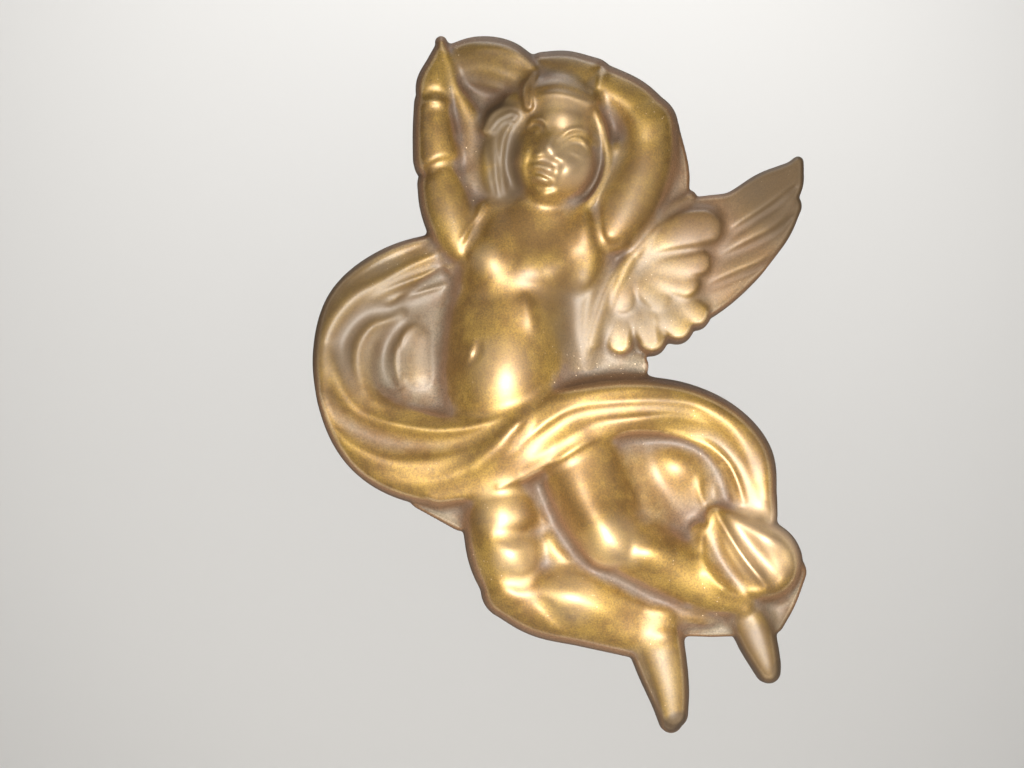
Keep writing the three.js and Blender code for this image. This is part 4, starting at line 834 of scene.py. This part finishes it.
def paint(settings):
    """Antique gold plaster: metallic gold on the high forms, mauve brown in the hollows, pale worn ridges.

    A mask is a measure of the surface plus some noise, cut smoothly between two levels. The tones are laid
    over the gold and the brown one after another, each as far as its mask and its strength say. The brown
    on the steep sides is partly painted shade, the wing's tip and the dark patches are painted shade, and
    the pale patches on high places are painted highlights.
    """
    s = Shader("antique_gold_paint")
    place = s.add("ShaderNodeTexCoord", output=3)
    cloud = s.noise(place, *CLOUD_NOISE)
    patch = s.noise(place, *PATCH_NOISE)
    grain = s.noise(place, *GRAIN_NOISE)
    clouded, uneven, sandy = cloud - 0.5, patch - 0.5, grain - 0.5
    ragged = uneven * 1.8
    fine, broad = s.value("fine_hollow"), s.value("broad_hollow")
    lift, steep = s.value("lift"), s.value("steep")

    recess = (broad * 0.13 + (0.6 - lift) * 2.0 + uneven * 0.9 + clouded * 0.8).between(*RECESS_LEVELS)
    crease = (fine + uneven * 0.8).between(*CREASE_LEVELS)
    # Steep sides: partly the dark ground where the gold was not rubbed on, partly painted shade on sides
    # that turn from the light
    wall = (steep + uneven * 0.8).between(*WALL_LEVELS)
    open_side = 1 - wall
    ridge = (fine * -1.0 + uneven * 1.2).between(*RIDGE_LEVELS) * open_side * lift.between(*RIDGE_LIFT)
    dust = (1 - lift.between(*DUST_LIFT)) * patch.between(*DUST_LEVELS) * open_side
    cell = s.add("ShaderNodeTexVoronoi", {"feature": "F1"}, {"Vector": place, "Scale": SPECK_SCALE})
    speck = cell.between(*SPECK_EDGE) * clouded.between(*SPECK_CLOUD)
    # Painted shade: the wing's tip and its long feathers painted darker brown
    wing_tip_shade = s.near(place, *WING_TIP_SHADE, ragged * 0.15)
    toe = s.near(place, *TOE, ragged * 0.4)
    chip = s.near(place, *CHIPS[0], ragged).most(s.near(place, *CHIPS[1], ragged))
    # Painted shade: soft patches where the gold is painted darker
    painted_shade = s.patches(place, SHADE_PATCHES, ragged * 0.2)
    # Painted highlights: soft patches on high places painted paler
    painted_highlight = s.patches(place, PAINTED_HIGHLIGHTS, ragged * 0.2)
    brown_part = (recess * 0.85 + crease * 0.5 + wall * 0.9).least(1.0)

    bright = (cloud * 0.5 + patch * 0.5).between(*BRIGHT_LEVELS)
    gold = s.mix(bright, settings.gold_deep, settings.gold_bright)
    brown = s.mix(patch.between(*GREY_LEVELS), settings.ground_mauve, settings.ground_grey)
    # The steep sides take the side brown, partly as painted shade
    brown = s.mix(wall * 0.85, brown, settings.side_and_shade_brown)
    colour = s.mix(brown_part, gold, brown)
    # rows of mask, strength and colour
    tones = (
        (crease, 0.45, settings.crease_brown),
        (ridge, 0.35, settings.worn_cream_and_highlight),
        (dust, 0.6, settings.dust),
        # Painted shade on the wing's tip
        (wing_tip_shade, 0.45, settings.side_and_shade_brown),
        (sandy.between(*GRAIN_LEVELS), 0.5, PORE_COLOUR),
        (speck, 0.8, settings.worn_cream_and_highlight),
        (chip, 0.8, settings.bare_plaster),
        (toe, 0.8, TOE_COLOUR),
        # Painted shade in the dark patches
        (painted_shade, 1.0, settings.painted_shade),
        # Painted highlights on the high places
        (painted_highlight, 1.0, settings.worn_cream_and_highlight),
    )
    for mask, strength, tone in tones:
        colour = s.mix(mask * strength, colour, tone)

    dull = brown_part.most(painted_shade).most(toe)
    metal = (0.88 - dull * 0.7 - chip * 0.7 - ridge * 0.2 - speck * 0.5).most(0.0)
    rough = (0.6 + dull * 0.12 + sandy * 0.2 + uneven * 0.12 + chip * 0.3).least(0.9)
    height = grain * 0.45 + patch * 0.8
    bump = s.add("ShaderNodeBump", None, {"Strength": 0.35, "Distance": 0.0004, "Height": height})
    surface = s.add("ShaderNodeBsdfPrincipled", None, {
        "Base Color": colour, "Metallic": metal, "Roughness": rough, "Normal": bump,
        "Specular IOR Level": 0.5, "Coat Weight": 0.8 - dull * 0.6 - wall * 0.18,
        "Coat Roughness": 0.48, "Coat IOR": 1.8,
    })
    s.add("ShaderNodeOutputMaterial", None, {"Surface": surface})
    return s.material


def backdrop_material(name, colour, roughness):
    s = Shader(name)
    surface = s.add("ShaderNodeBsdfPrincipled", None, {"Base Color": (*colour, 1), "Roughness": roughness})
    s.add("ShaderNodeOutputMaterial", None, {"Surface": surface})
    return s.material


# Sizes and colours that a user would change

def length_setting(name, description, default):
    return FloatProperty(name=name, description=description, default=default, unit="LENGTH")


def colour_setting(name, description, default):
    return FloatVectorProperty(name=name, description=description, default=default, subtype="COLOR")


class CastingSettings(bpy.types.PropertyGroup):
    relief_depth: length_setting("Relief depth", "Height of the highest crest over the wall", 0.034)
    square: length_setting("Drawing square", "Size of one square", CASTING_HEIGHT / CASTING_SQUARES)
    rim: length_setting("Rim", "Thickness of the casting at its outline", 0.007)
    draft: FloatProperty(
        name="Side draft", description="Slope of the sides, from square to the wall",
        default=math.radians(7.0), subtype="ANGLE")
    pocket_diameter: length_setting("Nail pocket", "Diameter of the pocket in the back", 0.011)
    pocket_depth: length_setting("Pocket depth", "Depth of the pocket in the back", 0.009)
    gold_deep: colour_setting("Deep gold", "Darker tone of the gold paint", (0.26, 0.13, 0.012))
    gold_bright: colour_setting("Bright gold", "Lighter tone of the gold paint", (0.47, 0.285, 0.04))
    ground_mauve: colour_setting("Mauve ground", "Brown ground in the hollows", (0.15, 0.086, 0.05))
    ground_grey: colour_setting("Grey ground", "Greyer ground in the hollows", (0.19, 0.14, 0.1))
    crease_brown: colour_setting("Crease brown", "Dark brown left in the creases", (0.07, 0.035, 0.014))
    # Tone of the painted shade patches
    painted_shade: colour_setting("Painted_shade", "Gold that has darkened", (0.08, 0.05, 0.022))
    # Brown of the side walls, partly painted shade there, and the painted shade on the wing's tip
    side_and_shade_brown: colour_setting("Side brown", "Brown of the side walls", (0.27, 0.14, 0.06))
    # Cream of the worn ridges and specks, also used for the painted highlights
    worn_cream_and_highlight: colour_setting("Worn cream", "Rubbed ridges", (0.72, 0.55, 0.36))
    dust: colour_setting("Dust", "Dust on the low webs", (0.2, 0.18, 0.13))
    bare_plaster: colour_setting("Bare plaster", "Plaster in the chips", (0.6, 0.47, 0.36))


class StageSettings(bpy.types.PropertyGroup):
    wall_gap: length_setting("Backdrop gap", "From the ornament to the backdrop", 1.6)
    floor_drop: length_setting("Floor drop", "From the ornament's middle to the floor", 0.62)
    backdrop: colour_setting("Backdrop", "Pale floor and backdrop", (0.8, 0.79, 0.77))


# The ornament

class ORNAMENT_OT_casting(bpy.types.Operator):
    """Carve and paint the plaster cherub"""
    bl_idname = "ornament.casting"
    bl_label = "Cast cherub"

    def execute(self, context):
        s = context.scene.ornament_casting
        crest_square = s.relief_depth / HIGHEST_CREST
        level = s.rim / crest_square
        relief = carve_figure(1 / math.tan(s.draft), CREASE_FILLING / s.square, SOFTENING / s.square)
        pocket = (*POCKET_PLACE, s.pocket_diameter / 2, s.pocket_depth, POCKET_SIDES)
        mesh, grid_at = cast_mesh("cast_cherub", relief, level, s.square, crest_square, pocket)
        add_values(mesh, "fine_hollow", relief.hollow(FINE_WIDTH), grid_at)
        add_values(mesh, "broad_hollow", relief.hollow(BROAD_WIDTH), grid_at)
        add_values(mesh, "lift", np.clip(relief.heights, 0, None) / HIGHEST_CREST, grid_at)
        slope_up, slope_across = np.gradient(relief.heights, relief.up, relief.across)
        add_values(mesh, "steep", np.hypot(slope_up, slope_across), grid_at)
        mesh.materials.append(paint(s))
        mesh.shade_smooth()
        mesh.set_sharp_from_angle(angle=SHARP_ANGLE)
        piece = bpy.data.objects.new("cast_cherub", mesh)
        context.scene.collection.objects.link(piece)
        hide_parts(NODE)
        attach(piece, "root")
        return {"FINISHED"}


# Stage: lengths in metres, the sensor in millimetres and powers in watts

STAGE_HALF_WIDTH = 6.0
BACKDROP_ROUGHNESS = 0.9
SENSOR_WIDTH = 36.0
KEY_PLACE = (0.02, -0.52, -0.115)
KEY_AIM = (0.0, 0.0, -0.05)
KEY_POWER = 35.0
KEY_COLOUR = (1.0, 0.97, 0.92)
KEY_RADIUS = 0.11
KEY_CONE = math.radians(62)
FILLS = (
    ("left_fill", (-1.1, -1.0, 0.5), 2.5),
    ("right_fill", (1.2, -0.9, 0.3), 2.0),
    ("top_fill", (0.1, -0.5, 1.4), 2.0),
)
BACKDROP_LIGHT_PLACE = (0.0, 0.5, 1.2)
BACKDROP_LIGHT_AIM = (0.0, 1.6, 0.1)
BACKDROP_LIGHT_POWER = 18.0
DISK_SIZE = 0.9
ROOM_COLOUR = (1.0, 0.96, 0.92, 1)
ROOM_STRENGTH = 0.1


def add_sheet(scene, name, corners, material):
    """Adds a flat sheet of the stage through four corners."""
    mesh = bpy.data.meshes.new(name)
    mesh.from_pydata(corners, [], [(0, 1, 2, 3)])
    mesh.materials.append(material)
    sheet = bpy.data.objects.new(name, mesh)
    scene.collection.objects.link(sheet)


def add_backdrop(scene, settings):
    """Adds a pale floor under the ornament and a pale wall behind it."""
    floor, gap, wide = -settings.floor_drop, settings.wall_gap, STAGE_HALF_WIDTH
    floor_corners = [(-wide, -wide, floor), (wide, -wide, floor), (wide, gap, floor), (-wide, gap, floor)]
    wall_corners = [(-wide, gap, floor), (wide, gap, floor), (wide, gap, wide), (-wide, gap, wide)]
    pale = backdrop_material("pale_backdrop", settings.backdrop, BACKDROP_ROUGHNESS)
    add_sheet(scene, "floor", floor_corners, pale)
    add_sheet(scene, "backdrop", wall_corners, pale)


def add_camera(scene, aim, distance):
    """Adds the camera at the eye of the drawing, with the drawing's width as the width of its frame."""
    back = Vector((0.0, -math.cos(VIEW_TILT), math.sin(VIEW_TILT))) * distance
    data = bpy.data.cameras.new("camera")
    data.sensor_width = SENSOR_WIDTH
    data.lens = SENSOR_WIDTH * VIEW_DISTANCE / DRAWING_WIDTH
    camera = bpy.data.objects.new("camera", data)
    camera.location = aim + back
    camera.rotation_euler = (-back).to_track_quat("-Z", "Y").to_euler()
    scene.collection.objects.link(camera)
    scene.camera = camera


def add_light(scene, name, kind, place, aim, power, **settings):
    """Adds a light of a kind at a place, turned to what it lights."""
    data = bpy.data.lights.new(name, kind)
    data.energy = power
    for key, value in settings.items():
        setattr(data, key, value)
    light = bpy.data.objects.new(name, data)
    light.location = place
    way = Vector(aim) - Vector(place)
    light.rotation_euler = way.to_track_quat("-Z", "Y").to_euler()
    scene.collection.objects.link(light)


def add_lights(scene, aim):
    """Adds a warm key from just below, large soft fills, a light on the backdrop and a dim warm room."""
    add_light(scene, "key", "SPOT", KEY_PLACE, KEY_AIM, KEY_POWER, color=KEY_COLOUR,
              shadow_soft_size=KEY_RADIUS, spot_size=KEY_CONE, spot_blend=1.0)
    disk = {"shape": "DISK", "size": DISK_SIZE}
    for name, place, power in FILLS:
        add_light(scene, name, "AREA", place, aim, power, **disk)
    add_light(scene, "backdrop_light", "AREA", BACKDROP_LIGHT_PLACE, BACKDROP_LIGHT_AIM,
              BACKDROP_LIGHT_POWER, **disk)
    world = bpy.data.worlds.new("soft_room")
    world.use_nodes = True
    background = world.node_tree.nodes["Background"]
    background.inputs["Color"].default_value = ROOM_COLOUR
    background.inputs["Strength"].default_value = ROOM_STRENGTH
    scene.world = world


class ORNAMENT_OT_stage(bpy.types.Operator):
    """Set the floor, backdrop, lights and camera"""
    bl_idname = "ornament.stage"
    bl_label = "Set stage"

    def execute(self, context):
        scene = context.scene
        square = scene.ornament_casting.square
        aim = Vector((VIEW_CENTRE[0] * square, 0.0, VIEW_CENTRE[1] * square))
        add_backdrop(scene, scene.ornament_stage)
        add_camera(scene, aim, VIEW_DISTANCE * square)
        add_lights(scene, aim)
        scene.view_settings.view_transform = "Standard"
        return {"FINISHED"}


class ORNAMENT_PT_panel(bpy.types.Panel):
    """The ornament's steps and settings"""
    bl_idname = "ORNAMENT_PT_panel"
    bl_label = "Angel wall ornament"
    bl_space_type = "VIEW_3D"
    bl_region_type = "UI"
    bl_category = "Ornament"

    def draw(self, context):
        for group, step in ((context.scene.ornament_casting, "ornament.casting"),
                            (context.scene.ornament_stage, "ornament.stage")):
            box = self.layout.box()
            for key in group.__annotations__:
                box.prop(group, key)
            box.operator(step)


CLASSES = (CastingSettings, StageSettings, ORNAMENT_OT_casting, ORNAMENT_OT_stage, ORNAMENT_PT_panel)


def register():
    for cls in CLASSES:
        bpy.utils.register_class(cls)
    bpy.types.Scene.ornament_casting = PointerProperty(type=CastingSettings)
    bpy.types.Scene.ornament_stage = PointerProperty(type=StageSettings)


def unregister():
    del bpy.types.Scene.ornament_stage
    del bpy.types.Scene.ornament_casting
    for cls in reversed(CLASSES):
        bpy.utils.unregister_class(cls)


def main():
    register()
    bpy.ops.ornament.casting()
    bpy.ops.ornament.stage()


if __name__ == "__main__":
    main()
